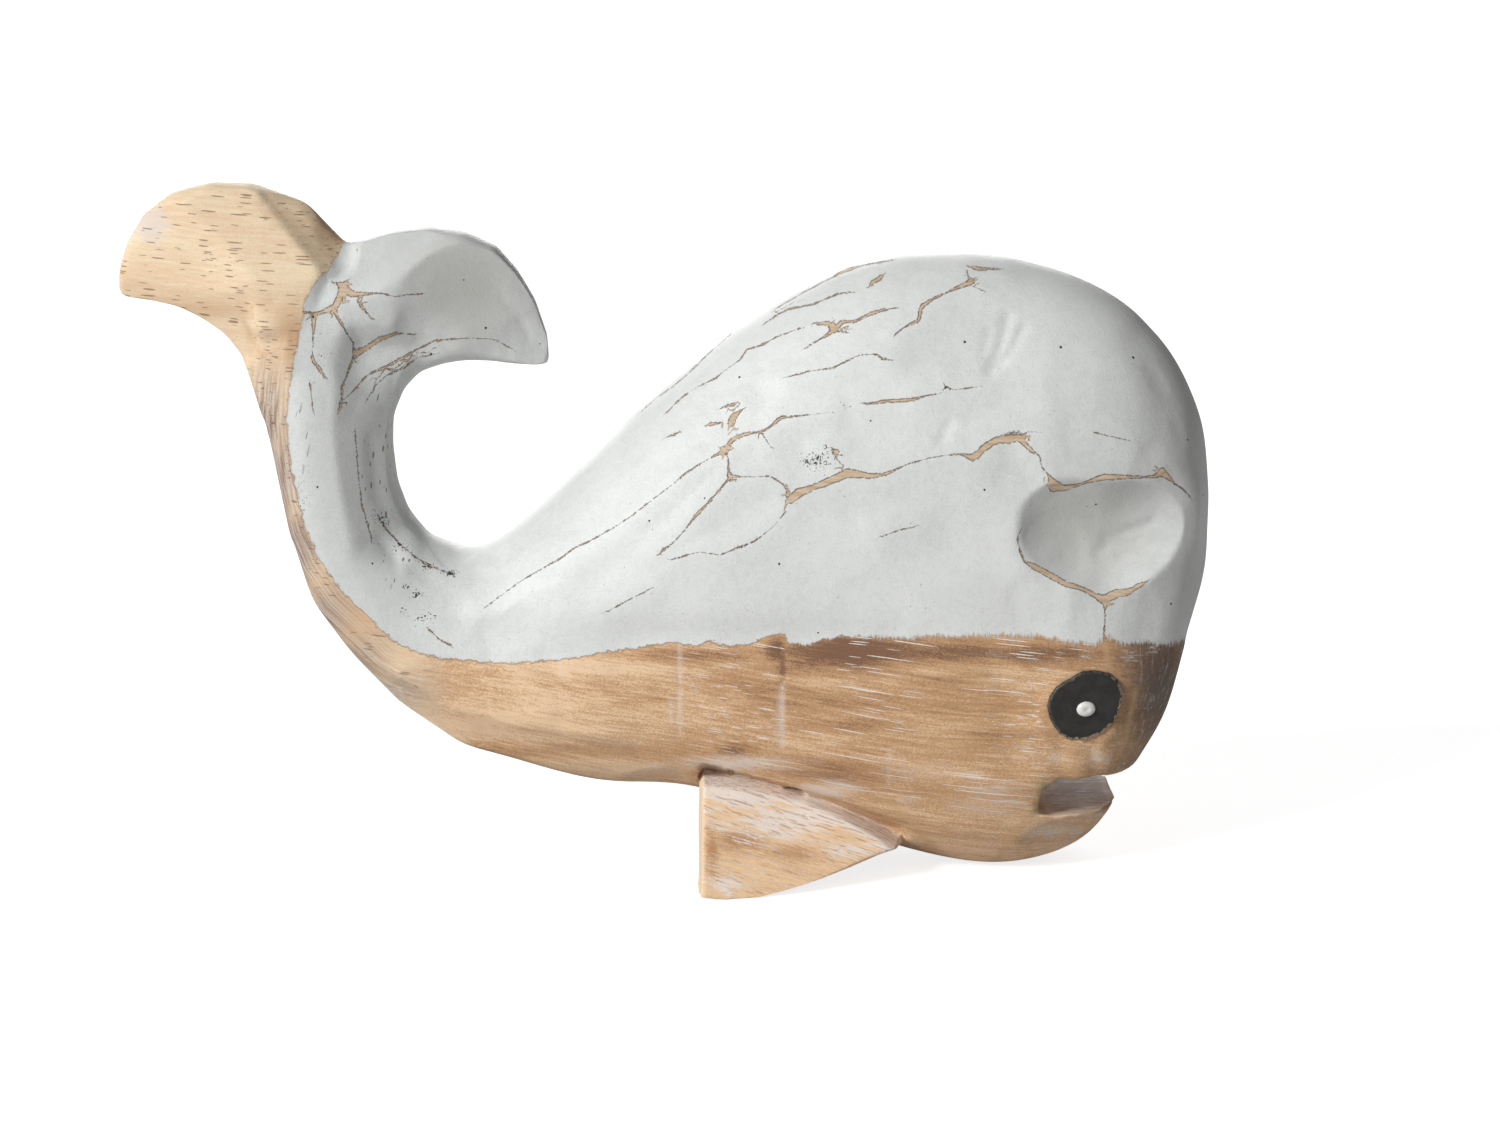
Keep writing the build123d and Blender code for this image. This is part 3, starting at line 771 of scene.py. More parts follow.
    # Pits and crumbled spots
    pitField = addNode(
        tree, "ShaderNodeTexVoronoi", {"Vector": position, "Scale": 0.24}, feature="F1"
    )
    pitParts = addNode(tree, "ShaderNodeSeparateColor", {0: pitField.outputs["Color"]}).outputs
    pitSize = calc(tree, "MULTIPLY_ADD", pitParts[1], 0.07, 0.025)
    pits = calc(tree, "LESS_THAN", pitField.outputs["Distance"], pitSize)
    pits = calc(tree, "MULTIPLY", pits, calc(tree, "LESS_THAN", pitParts[0], 0.34))
    crumbled = calc(tree, "MULTIPLY_ADD", fieldOf(tree, "crumbled"), 0.22, speckle)
    pits = calc(tree, "MAXIMUM", pits, spread(tree, crumbled, 0.72, 0.77))
    slits = calc(tree, "MULTIPLY", upright["Pores"], spread(tree, fieldOf(tree, "slits"), 0.3, 0.6))
    pits = calc(tree, "MAXIMUM", pits, calc(tree, "MULTIPLY", slits, 0.7))
    paint = blend(tree, pits, paint, look["pit"])
    colour = blend(tree, covered, wood, paint)
    fringe = spread(tree, calc(tree, "ABSOLUTE", shifted), 0.0, 0.40, 0.45, 0.0)
    fringed = spread(tree, place[0], *look["fringed"], 1.0, 0.2)
    fringe = calc(tree, "MULTIPLY", fringe, fringed)
    colour = blend(tree, fringe, colour, look["dark"])
    tree.links.new(colour, shader.inputs["Base Color"])

    bare = calc(tree, "MAXIMUM", calc(tree, "SUBTRACT", 1.0, covered), rubbed)
    plain, moreBare, moreSpecks = look["rough"]
    rough = calc(tree, "MULTIPLY_ADD", bare, moreBare, plain)
    rough = calc(tree, "MULTIPLY_ADD", speckle, moreSpecks, rough)
    tree.links.new(rough, shader.inputs["Roughness"])
    shader.inputs["Specular IOR Level"].default_value = look["shine"]

    height = calc(tree, "MULTIPLY", calc(tree, "SUBTRACT", 1.0, bare), 0.6)
    height = calc(tree, "MULTIPLY_ADD", body["Fibres"], calc(tree, "MULTIPLY", bare, 0.5), height)
    height = calc(tree, "MULTIPLY_ADD", pits, -0.6, height)
    height = calc(tree, "MULTIPLY_ADD", calc(tree, "MULTIPLY", darkPores, bare), -0.5, height)
    height = calc(tree, "MULTIPLY_ADD", ruffle, 0.30, height)
    height = calc(tree, "MULTIPLY_ADD", speckle, 0.12, height)
    addBump(tree, shader, height, *look["bump"])
    return material


bodyShape = {
    "voxel": 1.0 * millimetre,
    "smoothing": 3,
    "crest": 0.45 * millimetre,  # how far the ridges stand above the scoops between them
    "crestReach": 5.0 * millimetre,
    "woodCrest": 0.35,  # share of the crest on bare wood
    "paintSpread": 2.0,  # millimetres each side of the paint's edge over which the crest grows
    "fieldReach": 6,  # millimetres past which the distance to a ridge isn't told apart
    "soft": 0.14 * millimetre,
    "deepestCut": 4.5 * millimetre,
    "mostCut": 0.6,  # of what is there
    "facetSeed": 7,
    "facets": 150,
    "facetDepth": (0.10 * millimetre, 0.32 * millimetre),
    "facetMost": 1.5,  # times its depth
    "facetReach": (7.0 * millimetre, 15.0 * millimetre),
    "facetEdge": 0.6,  # share of its reach where it begins to fade
    "facetAlike": (0.3, 0.8),  # how much the skin has to face its way
    "facetSide": (0.15, 0.5),  # how much the skin has to face a side
}

# Outline around the left fluke in pixels
leftFluke = [(60, 120), (260, 130), (350, 290), (290, 350), (220, 350), (60, 340)]

# Flat cuts of the knife: three pixels each, with how many millimetres under the skin the cut runs
# there, then the outline in pixels that it keeps to and how far inside it the cut is whole
flatCuts = {
    "leftFlukeInner": (
        [(264, 196, 0.1), (318, 270, 0.1), (228, 256, 0.3)],
        leftFluke,
        14,
    ),
    "leftFlukeOuter": (
        [(205, 215, 0.2), (250, 300, 0.2), (130, 240, 2.6)],
        leftFluke,
        14,
    ),
    "leftFlukeNotch": (
        [(262, 192, 0.1), (318, 270, 0.1), (334, 236, 4.2)],
        [(225, 130), (370, 190), (354, 274), (322, 294), (230, 200)],
        8,
    ),
    "leftFlukeLow": (
        [(140, 250, 0.9), (228, 282, 0.5), (165, 292, 2.6)],
        [(60, 230), (250, 262), (262, 370), (60, 340)],
        10,
    ),
    "rightFlukeTop": (
        [(334, 300, 0.1), (428, 230, 0.2), (372, 240, 0.5)],
        [(330, 190), (470, 170), (470, 240), (345, 330), (310, 300)],
        34,
    ),
    "rightFlukeFace": (
        [(440, 250, 0.3), (528, 335, 2.6), (400, 330, 0.2)],
        [(400, 200), (590, 240), (590, 430), (425, 430), (395, 375), (350, 290)],
        20,
    ),
    "stemInner": (
        [(336, 420, 0.3), (348, 525, 0.3), (374, 450, 2.2)],
        [
            (345, 320), (450, 320), (450, 480), (440, 530), (400, 580), (345, 570), (308, 480),
            (306, 380),
        ],
        34,
    ),
    "stemOuter": (
        [(288, 400, 0.3), (297, 500, 0.3), (276, 420, 1.0)],
        [(240, 330), (300, 330), (310, 500), (350, 620), (280, 620), (240, 500)],
        14,
    ),
    "bellyRear": (
        [(380, 668, 0.2), (455, 714, 0.2), (420, 716, 1.4)],
        [(330, 600), (400, 670), (500, 735), (480, 790), (300, 720)],
        12,
    ),
    "bellyMid": (
        [(470, 718, 0.3), (640, 748, 0.3), (560, 764, 1.8)],
        [(430, 690), (500, 722), (690, 745), (700, 840), (420, 800)],
        12,
    ),
    "jaw": (
        [(1048, 822, 0.1), (1015, 848, 0.1), (1080, 832, 0.7)],
        [(1040, 818), (1130, 814), (1130, 880), (990, 890), (1005, 845)],
        8,
    ),
}

# Grooves and dents: pixels, then width in pixels and depth in millimetres
grooves = [
    ([(1008, 316), (1001, 345), (990, 372)], 5, 0.5),
    ([(1024, 326), (1012, 350), (1000, 366)], 4, 0.4),
    ([(990, 330), (984, 350)], 5, 0.3),
    ([(950, 423), (941, 441)], 5, 0.3),
    ([(1106, 540), (1130, 531), (1154, 522)], 5, 0.45),
    ([(1096, 552), (1118, 545), (1140, 541)], 4, 0.3),
    ([(1120, 556), (1150, 548)], 4, 0.25),
    ([(1140, 340), (1158, 372), (1170, 400)], 20, 0.6),
    ([(1010, 452), (1030, 478)], 12, 0.3),
    ([(1092, 746), (1097, 776)], 8, 0.5),
    ([(1062, 746), (1060, 774)], 8, 0.35),
    ([(846, 513), (858, 522)], 5, 0.25),
    ([(380, 540), (400, 560), (430, 578)], 6, 0.3),
    ([(372, 440), (376, 490), (390, 530)], 7, 0.3),
    ([(502, 300), (520, 318), (530, 338)], 4, 0.25),
    ([(782, 638), (782, 746)], 2.4, 0.22),
    ([(679, 642), (679, 740)], 2.4, 0.12),
    ([(888, 746), (887, 790)], 2.4, 0.15),
    ([(540, 640), (560, 690), (562, 730)], 10, 0.3),
    ([(490, 662), (520, 700)], 9, 0.3),
    ([(620, 660), (640, 735)], 14, 0.3),
    ([(995, 660), (1010, 700), (1012, 760)], 16, 0.4),
    ([(930, 800), (1000, 830)], 14, 0.4),
]

# Ridges of the wood rubbed free of lime wash
bareRidges = [
    [(1076, 742, 5), (1074, 752, 4), (1074, 764, 4), (1076, 776, 6)],
    [(1060, 780, 4), (1046, 792, 7), (1034, 812, 5), (1012, 836, 6), (996, 862, 5)],
    [(876, 788, 6), (900, 812, 7), (932, 846, 8)],
    [(1104, 640, 4), (1108, 660, 6), (1108, 672, 6)],
    [(1136, 690, 4), (1126, 740, 5), (1112, 770, 4)],
    [(243, 321, 3), (253, 341, 3), (275, 380, 3)],
]

# Upright scratches of a tool in the wood, filled with lime wash: across, down and width in pixels
toolMarks = [
    [(782, 682, 1), (781, 694, 6), (780, 738, 5.5), (782, 748, 2)],
    [(679, 642, 1), (680, 690, 1.5), (679, 738, 1)],
    [(888, 748, 2), (887, 788, 2)],
    [(670, 700, 2), (672, 722, 1)],
    [(560, 655, 1), (562, 690, 1)],
    [(1040, 810, 2), (1058, 813, 4), (1084, 815, 3), (1104, 815, 2.5)],
]

# What these lines are called on the skin, and how many pixels their edges take to fade
strokeFields = {"bared": (bareRidges, 3), "scored": (toolMarks, 1.5)}


def softLess(first, second, soft):
    # The lesser of two, rounded where they cross
    gap = np.clip(0.5 + 0.5 * (second - first) / soft, 0, 1)
    return second + (first - second) * gap - soft * gap * (1 - gap)


def cutFlats(points, mesh):
    # Planes through marks on the near skin, cut alike into both sides
    skin = skinTree(mesh, points)
    pixels = photoPixels(points)
    thickness = np.abs(points[:, 1])
    for marks, outline, margin in flatCuts.values():
        rows = []
        for across, down, under in marks:
            hit = skinAt(skin, (across, down))
            rows.append((hit.x, hit.z, 1, -hit.y - under * millimetre))
        rows = np.array(rows)
        slope = np.linalg.solve(rows[:, :3], rows[:, 3])
        limit = points[:, 0] * slope[0] + points[:, 2] * slope[1] + slope[2]
        inside = smoothStep(0, margin, edgeField(pixels, outline))
        cut = softLess(thickness, limit, bodyShape["soft"]) - thickness
        deepest = np.minimum(bodyShape["deepestCut"], thickness * bodyShape["mostCut"]) + 1e-9
        thickness -= inside * deepest * np.tanh(np.maximum(-cut, 0) / deepest)
    points[:, 1] = np.sign(points[:, 1]) * np.maximum(thickness, 0)
    return points


# The carved hollow behind the brow, a round dish
hollow = {
    "outline": [
        (1047, 478), (1030, 504), (1019, 530), (1018, 546), (1028, 560), (1050, 572), (1070, 585),
        (1100, 598), (1118, 591), (1142, 582), (1166, 568), (1182, 540), (1179, 506), (1160, 485),
        (1130, 479), (1090, 482),
    ],
    "middle": (1101, 537),
    "waves": 4,  # how finely its outline is followed
    "around": (1.42, 1.85),  # times its outline, the two rings of marks on the head's own round
    "front": [(1190, 500), (1191, 535), (1188, 568)],  # marks where it runs out
    "depth": 6.6 * millimetre,
    "blend": (1.5, 1.04),  # times its outline, where the new skin begins and where it is whole
    "near": (0.014, 0.020),  # from the middle plane, where it begins
    "facing": (0.2, 0.5),  # how much the skin has to face a side
}


def skinTree(mesh, points):
    return BVHTree.FromPolygons(points.tolist(), [tuple(face.vertices) for face in mesh.polygons])


def skinAt(skin, pixel):
    eye = viewAxes()[0]
    return skin.ray_cast(eye, placeAt(pixel, 0) - eye)[0]


def bendTerms(x, z, marks):
    # What a thin plate bent over the marks is made of
    away = np.hypot(x[:, None] - marks[:, 0], z[:, None] - marks[:, 2]) / millimetre
    bends = away**2 * np.log(np.maximum(away, 1e-6))
    return np.hstack((bends, np.ones((len(x), 1)), x[:, None], z[:, None]))


def waveTerms(offset, waves):
    # What an outline's radius is made of, by the direction from its middle
    angle = np.arctan2(offset[:, 1], offset[:, 0])
    terms = [np.ones_like(angle)]
    for wave in range(1, waves + 1):
        terms += [np.cos(wave * angle), np.sin(wave * angle)]
    return np.stack(terms, 1)


def carveHollow(mesh, points):
    shape = hollow
    skin = skinTree(mesh, points)
    middle = np.array(shape["middle"])
    marks = [skinAt(skin, pixel) for pixel in shape["front"]]
    for times in shape["around"]:
        for pixel in shape["outline"]:
            hit = skinAt(skin, middle + (np.array(pixel) - middle) * times)
            if hit:
                marks.append(hit)
    marks = np.array(marks)
    count = len(marks)
    system = np.zeros((count + 3, count + 3))
    system[:count] = bendTerms(marks[:, 0], marks[:, 2], marks)
    system[count:, :count] = system[:count, count:].T
    fit = np.linalg.solve(system, np.append(-marks[:, 1], (0, 0, 0)))

    rim = np.array(shape["outline"]) - middle
    terms = waveTerms(rim, shape["waves"])
    radius = np.linalg.lstsq(terms, np.hypot(*rim.T), rcond=None)[0]
    offset = photoPixels(points) - middle
    out = np.hypot(*offset.T) / (waveTerms(offset, shape["waves"]) @ radius)
    facing = np.abs(meshNormals(mesh)[:, 1])
    chosen = (out < shape["blend"][0]) & (facing > shape["facing"][0])
    level = bendTerms(points[chosen, 0], points[chosen, 2], marks) @ fit
    dish = shape["depth"] * np.maximum(1 - out[chosen] ** 2, 0)
    thickness = np.abs(points[chosen, 1])
    share = smoothStep(*shape["blend"], out[chosen])
    share *= smoothStep(*shape["facing"], facing[chosen])
    share *= smoothStep(*shape["near"], thickness)
    thickness += share * (level - dish - thickness)
    points[chosen, 1] = np.sign(points[chosen, 1]) * thickness
    return points


# Where the skin is smoothed: outline in pixels, how many rounds, and whether along every axis or
# only across the middle plane
easedPlaces = {
    "stemRoot": {
        "outline": [
            (388, 515), (430, 520), (480, 530), (545, 560), (565, 600), (545, 636), (485, 650),
            (430, 645), (385, 622), (352, 585), (345, 555), (365, 530),
        ],
        "rounds": 120,
        "everyWay": False,
    },
    "stemHeel": {
        "outline": [
            (262, 540), (335, 540), (372, 610), (400, 650), (400, 720), (330, 700), (270, 640),
        ],
        "rounds": 40,
        "everyWay": True,
    },
    "belly": {
        "outline": [
            (395, 700), (450, 716), (520, 736), (600, 748), (690, 756), (690, 800), (500, 800),
            (400, 760),
        ],
        "rounds": 22,
        "everyWay": True,
    },
    "leftFlukeRim": {
        "outline": [
            (60, 240), (90, 150), (160, 120), (250, 130), (330, 170), (350, 225), (330, 232),
            (300, 212), (250, 182), (190, 180), (140, 196), (112, 240),
        ],
        "rounds": 18,
        "everyWay": True,
    },
    "rightFluke": {
        "outline": [
            (398, 306), (440, 300), (492, 312), (505, 340), (490, 362), (450, 372), (410, 368),
            (392, 342),
        ],
        "rounds": 50,
        "everyWay": False,
    },
}


def easeSkin(mesh, eased):
    inside = edgeField(photoPixels(meshPoints(mesh)), eased["outline"]) > 0
    work = bmesh.new()
    work.from_mesh(mesh)
    work.verts.ensure_lookup_table()
    chosen = [work.verts[index] for index in np.nonzero(inside)[0]]
    for _ in range(eased["rounds"]):
        bmesh.ops.smooth_vert(
            work,
            verts=chosen,
            factor=0.5,
            use_axis_x=eased["everyWay"],
            use_axis_y=True,
            use_axis_z=eased["everyWay"],
        )
    work.to_mesh(mesh)
    work.free()
    mesh.update()


def cutFacets(points, normals):
    # Small flats left by the knife, each along the skin where it lies
    shape = bodyShape
    chance = random.Random(shape["facetSeed"])
    picks = [chance.randrange(len(points)) for _ in range(shape["facets"])]
    onSide = smoothStep(*shape["facetSide"], np.abs(normals[:, 1]))
    for pick in picks:
        centre, normal = points[pick].copy(), normals[pick]
        depth = chance.uniform(*shape["facetDepth"])
        reach = chance.uniform(*shape["facetReach"])
        offset = points - centre
        above = offset @ normal + depth
        distance = np.sqrt((offset**2).sum(1))
        share = smoothStep(reach, reach * shape["facetEdge"], distance)
        share *= smoothStep(*shape["facetAlike"], normals @ normal) * onSide
        points -= normal * (np.clip(above, 0, depth * shape["facetMost"]) * share)[:, None]
    return points


def eyePlug(side):
    # Fills the round pocket around the eye's uneven rim
    centre, normal = eyePlane()
    turn = Vector((0, 0, 1)).rotation_difference(normal).to_matrix()
    low, high = eyeShape["plugDepths"]
    work = bmesh.new()
    bmesh.ops.create_cone(
        work,
        cap_ends=True,
        segments=64,
        radius1=eyeShape["plugRadius"],
        radius2=eyeShape["plugRadius"],
        depth=low - high,
    )
    bmesh.ops.rotate(work, verts=work.verts, cent=(0, 0, 0), matrix=turn)
    bmesh.ops.translate(work, vec=centre - normal * (low + high) / 2, verts=work.verts)
    bmesh.ops.scale(work, vec=(1, side, 1), verts=work.verts)
    bmesh.ops.recalc_face_normals(work, faces=work.faces)
    return addObject("eyePlug", meshFrom(work, "eyePlug"))


def makeWhaleBody():
    shape = bodyShape
    body = mergedCopy("bodyCopy", "body_block")
    others = [mergedCopy("tailCopy", "tail_block"), eyePlug(1), eyePlug(-1)]
    mesh = remeshed("whale_body", body, others, shape["voxel"], shape["smoothing"])
    print("body skin has", len(mesh.polygons), "faces")
    for place in ("stemRoot", "stemHeel", "belly", "leftFlukeRim"):
        easeSkin(mesh, easedPlaces[place])
    points = carveHollow(mesh, meshPoints(mesh))
    setPoints(mesh, points)
    points = cutFlats(points, mesh)
    setPoints(mesh, points)
    easeSkin(mesh, easedPlaces["rightFluke"])
    points = cutFacets(meshPoints(mesh), meshNormals(mesh))
    setPoints(mesh, points)

    pixels = warpedPixels(points)
    scale = view["pixelSize"] / millimetre
    side, width, near = lineField(pixels, wornRidges)
    edge = edgeField(pixels, paintEdge) * scale
    painted = smoothStep(-shape["paintSpread"], shape["paintSpread"], edge)
    reach = shape["crestReach"] / millimetre
    scoop = 1 - np.exp(-((near * scale / reach) ** 2))
    onWood = shape["woodCrest"]
    sink = shape["crest"] * scoop * (onWood + (1 - onWood) * painted)
    for path, wide, deep in grooves:
        away = lineField(pixels, [[(*pixel, 1) for pixel in path]])[2]
        sink += deep * millimetre * np.exp(-((away / wide) ** 2))
    setPoints(mesh, points - meshNormals(mesh) * sink[:, None])

    addField(mesh, "paintEdge", edge)
    far = shape["fieldReach"]
    addField(mesh, "ridgeSide", np.clip(side * scale, -far, far))
    addField(mesh, "ridgeNear", np.clip(near * scale, 0, far))
    addField(mesh, "ridgeWidth", width * scale)
    for name, patches in softPatches.items():
        addField(mesh, name, patchField(pixels, patches))
    for name, (lines, fade) in strokeFields.items():
        width, near = lineField(pixels, lines)[1:]
        addField(mesh, name, smoothStep(1, -1, (near - width / 2) / fade))
    piece = addPiece("whale_body", mesh, makeBodyFinish())
    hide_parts("body_block", "tail_block")
    return piece


whaleBody = makeWhaleBody()
print("body and tail carved")

# Fins

finShape = {
    "voxel": 0.55 * millimetre,
    "smoothing": 2,
    "wobble": 0.25 * millimetre,
    # pixels of the lower edge, and of the line where the fin leaves the belly
    "lowerEdge": [
        (690, 896), (724, 900), (760, 897), (790, 889), (820, 879), (850, 867), (880, 854),
        (904, 846), (930, 840),
    ],
    "rootLine": [
        (690, 776), (708, 779), (740, 782), (775, 788), (806, 796), (842, 811), (873, 828),
        (893, 840), (908, 848), (930, 860),
    ],
    "rootWidth": 8,
    "rootUnder": 0.4 * millimetre,
    "pegUnder": 1.2 * millimetre,
    "outside": 0.1,  # from the middle plane, past everything
    "waves": 90,  # of the wobble, per metre
    "sole": (0.8 * millimetre, 2.5 * millimetre),  # height over which the wobble begins
    "rootWash": (1.5, 14),  # strength and reach in pixels of the lime wash along the root
    "endGrain": (0.5, 0.9),  # how much a face turns to the rear
}
finLook = {
    "pale": (0.96, 0.68, 0.42),
    "deep": (0.54, 0.27, 0.12),
    "wash": (0.95, 0.865, 0.80),
    "end": (0.90, 0.72, 0.52),
    "sliver": (0.46, 0.25, 0.13),
    "grain": (-17, 12.0, 0.6, 0.7),  # slope in degrees, then the pores' length, width and share
    "sliverSlope": -21,  # degrees
    "rough": (0.45, 0.2),  # plain, more in specks
    "shine": 0.4,
    "bump": (0.7, 0.0004),
}


def makeFinFinish():
    material, tree, shader, position = newMaterial("limedWood")
    look = finLook
    fin = placeGrain(tree, position, *look["grain"])
    speckle = noiseAt(tree, position, 1.6, 3.0, 0.6)
    tone = calc(tree, "MULTIPLY", fin["Bands"], 0.5)
    tone = calc(tree, "MULTIPLY_ADD", fin["Fibres"], 0.8, tone)
    # Darker wood from the patches, partly real tone and partly painted shade under the belly
    tone = calc(tree, "MULTIPLY_ADD", fieldOf(tree, "tanAndShade"), 0.45, tone)
    tone = calc(tree, "MULTIPLY_ADD", speckle, 0.3, tone)
    wood = blend(tree, spread(tree, tone, 0.74, 1.22), look["pale"], look["deep"])
    wet = calc(tree, "MULTIPLY_ADD", fieldOf(tree, "washed"), 0.26, fin["Fibres"])
    wet = calc(tree, "MULTIPLY_ADD", speckle, 0.3, wet)
    film = calc(tree, "MULTIPLY", spread(tree, wet, 0.72, 0.86), 0.9)
    pores = calc(tree, "MULTIPLY", fin["Pores"], spread(tree, speckle, 0.36, 0.52))
    lime = calc(tree, "MAXIMUM", film, calc(tree, "MULTIPLY", pores, 0.75))
    wood = blend(tree, lime, wood, look["wash"])
    turned = stretched(tree, position, (1, 1, 1), (0, look["sliverSlope"], 0))
    sliver = noiseAt(tree, stretched(tree, turned, (0.13, 1.9, 1.9)), 1.0, 4.0, 0.7)
    sliver = calc(tree, "MULTIPLY_ADD", fieldOf(tree, "washed"), 0.04, sliver)
    sliver = calc(tree, "MULTIPLY", spread(tree, sliver, 0.56, 0.64), 0.62)
    wood = blend(tree, sliver, wood, look["sliver"])
    wood = blend(tree, calc(tree, "MULTIPLY", fieldOf(tree, "endGrain"), 0.85), wood, look["end"])
    tree.links.new(wood, shader.inputs["Base Color"])
    plain, moreSpecks = look["rough"]
    rough = calc(tree, "MULTIPLY_ADD", speckle, moreSpecks, plain)
    tree.links.new(rough, shader.inputs["Roughness"])
    shader.inputs["Specular IOR Level"].default_value = look["shine"]
    height = calc(tree, "MULTIPLY_ADD", pores, -0.3, fin["Fibres"])
    addBump(tree, shader, height, *look["bump"])
    return material


def underSkin(point, skin, under):
    # How far from the middle plane a point may lie to stay that far under the body's skin
    x, y, z = point
    side = math.copysign(1, y)
    hit = skin.ray_cast(Vector((x, side * finShape["outside"], z)), Vector((0, -side, 0)))[0]
    return math.inf if hit is None else max(abs(hit.y) - under, 0)


def trimFin(points, skin):
    # The board's upper edge runs out into the belly and its lower edge is one long curve
    shape = finShape
    pixels = photoPixels(points)
    across, down = np.array(shape["lowerEdge"]).T
    low = np.maximum(pixels[:, 1] - np.interp(pixels[:, 0], across, down), 0)
    points[:, 2] = np.maximum(points[:, 2] + low * view["pixelSize"], 0)
    across, down = np.array(shape["rootLine"]).T
    under = photoPixels(points)[:, 1] - np.interp(pixels[:, 0], across, down)
    share = smoothStep(shape["rootWidth"], 0, under)
    for index in np.nonzero(share > 0)[0]:
        y = points[index, 1]
        wanted = underSkin(points[index], skin, shape["rootUnder"])
        if abs(y) > wanted:
            points[index, 1] = math.copysign(abs(y) + share[index] * (wanted - abs(y)), y)
    return points


def makeFins(body):
    shape = finShape
    finish = makeFinFinish()
    skin = skinTree(body, meshPoints(body))
    rootLine = [(*pixel, 1) for pixel in shape["rootLine"]]
    strength, reach = shape["rootWash"]
    for sideName in ("right", "left"):
        node = sideName + "_fin"
        copy = mergedCopy(node + "Copy", node)
        mesh = remeshed(node + "_board", copy, [], shape["voxel"], shape["smoothing"])
        points, normals = meshPoints(mesh), meshNormals(mesh)
        waves = np.array([noise.noise(Vector(point) * shape["waves"]) for point in points])
        aboveSole = smoothStep(*shape["sole"], points[:, 2])
        sink = shape["wobble"] * np.clip(0.5 + waves, 0, 1) * aboveSole
        points -= normals * sink[:, None]
        points = trimFin(points, skin)
        setPoints(mesh, points)
        pixels = warpedPixels(points)
        root = lineField(pixels, [rootLine])[2]
        rootWash = strength * np.exp(-((root / reach) ** 2))
        washed = np.maximum(patchField(pixels, softPatches["washed"]), rootWash)
        addField(mesh, "washed", washed)
        addField(mesh, "tanAndShade", patchField(pixels, softPatches["tanAndShade"]))
        addField(mesh, "endGrain", smoothStep(*shape["endGrain"], -normals[:, 0]))
        piece = addPiece(node + "_board", mesh, finish)
        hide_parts(node)


makeFins(whaleBody.data)
print("fins carved")

# Eyes


def onEye(pixel):
    eye = viewAxes()[0]
    centre, normal = eyePlane()
    ray = placeAt(pixel, 0) - eye
    return eye + ray * ((centre - eye).dot(normal) / ray.dot(normal))


eyeLook = {
    "black": (0.030, 0.029, 0.027),
    "smudged": (0.044, 0.042, 0.039),
    "chipped": (0.55, 0.46, 0.34),
    "white": (0.86, 0.85, 0.82),
    "whiteDull": (0.76, 0.75, 0.71),
    "blackShine": 0.3,
    "bump": (0.3, 0.0002),
}


def makeEyeFinishes():
    look = eyeLook
    black, tree, shader, position = newMaterial("blackPaint")
    smudge = noiseAt(tree, position, 0.35, 4.0, 0.6)
    colour = blend(tree, spread(tree, smudge, 0.35, 0.7), look["black"], look["smudged"])
    chips = spread(tree, noiseAt(tree, position, 1.1, 4.0, 0.65), 0.44, 0.54)
    chips = calc(tree, "MULTIPLY", fieldOf(tree, "rimWear"), chips)
    colour = blend(tree, chips, colour, look["chipped"])
    tree.links.new(colour, shader.inputs["Base Color"])
    tree.links.new(spread(tree, smudge, 0.3, 0.7, 0.34, 0.48), shader.inputs["Roughness"])
    shader.inputs["Specular IOR Level"].default_value = look["blackShine"]
    height = noiseAt(tree, position, 0.9, 3.0, 0.5)
    addBump(tree, shader, height, *look["bump"])

    white, tree, shader, position = newMaterial("whitePaint")
    mottle = noiseAt(tree, position, 1.5, 3.0, 0.5)
    colour = blend(tree, spread(tree, mottle, 0.35, 0.65), look["white"], look["whiteDull"])
    tree.links.new(colour, shader.inputs["Base Color"])
    tree.links.new(spread(tree, mottle, 0.3, 0.7, 0.28, 0.40), shader.inputs["Roughness"])
    addBump(tree, shader, mottle, *look["bump"])
    return black, white


def mirrorMesh(mesh, name):
    other = mesh.copy()
    other.name = name
    work = bmesh.new()
    work.from_mesh(other)
    bmesh.ops.scale(work, vec=(1, -1, 1), verts=work.verts)
    bmesh.ops.recalc_face_normals(work, faces=work.faces)
    work.to_mesh(other)
    work.free()
    return other


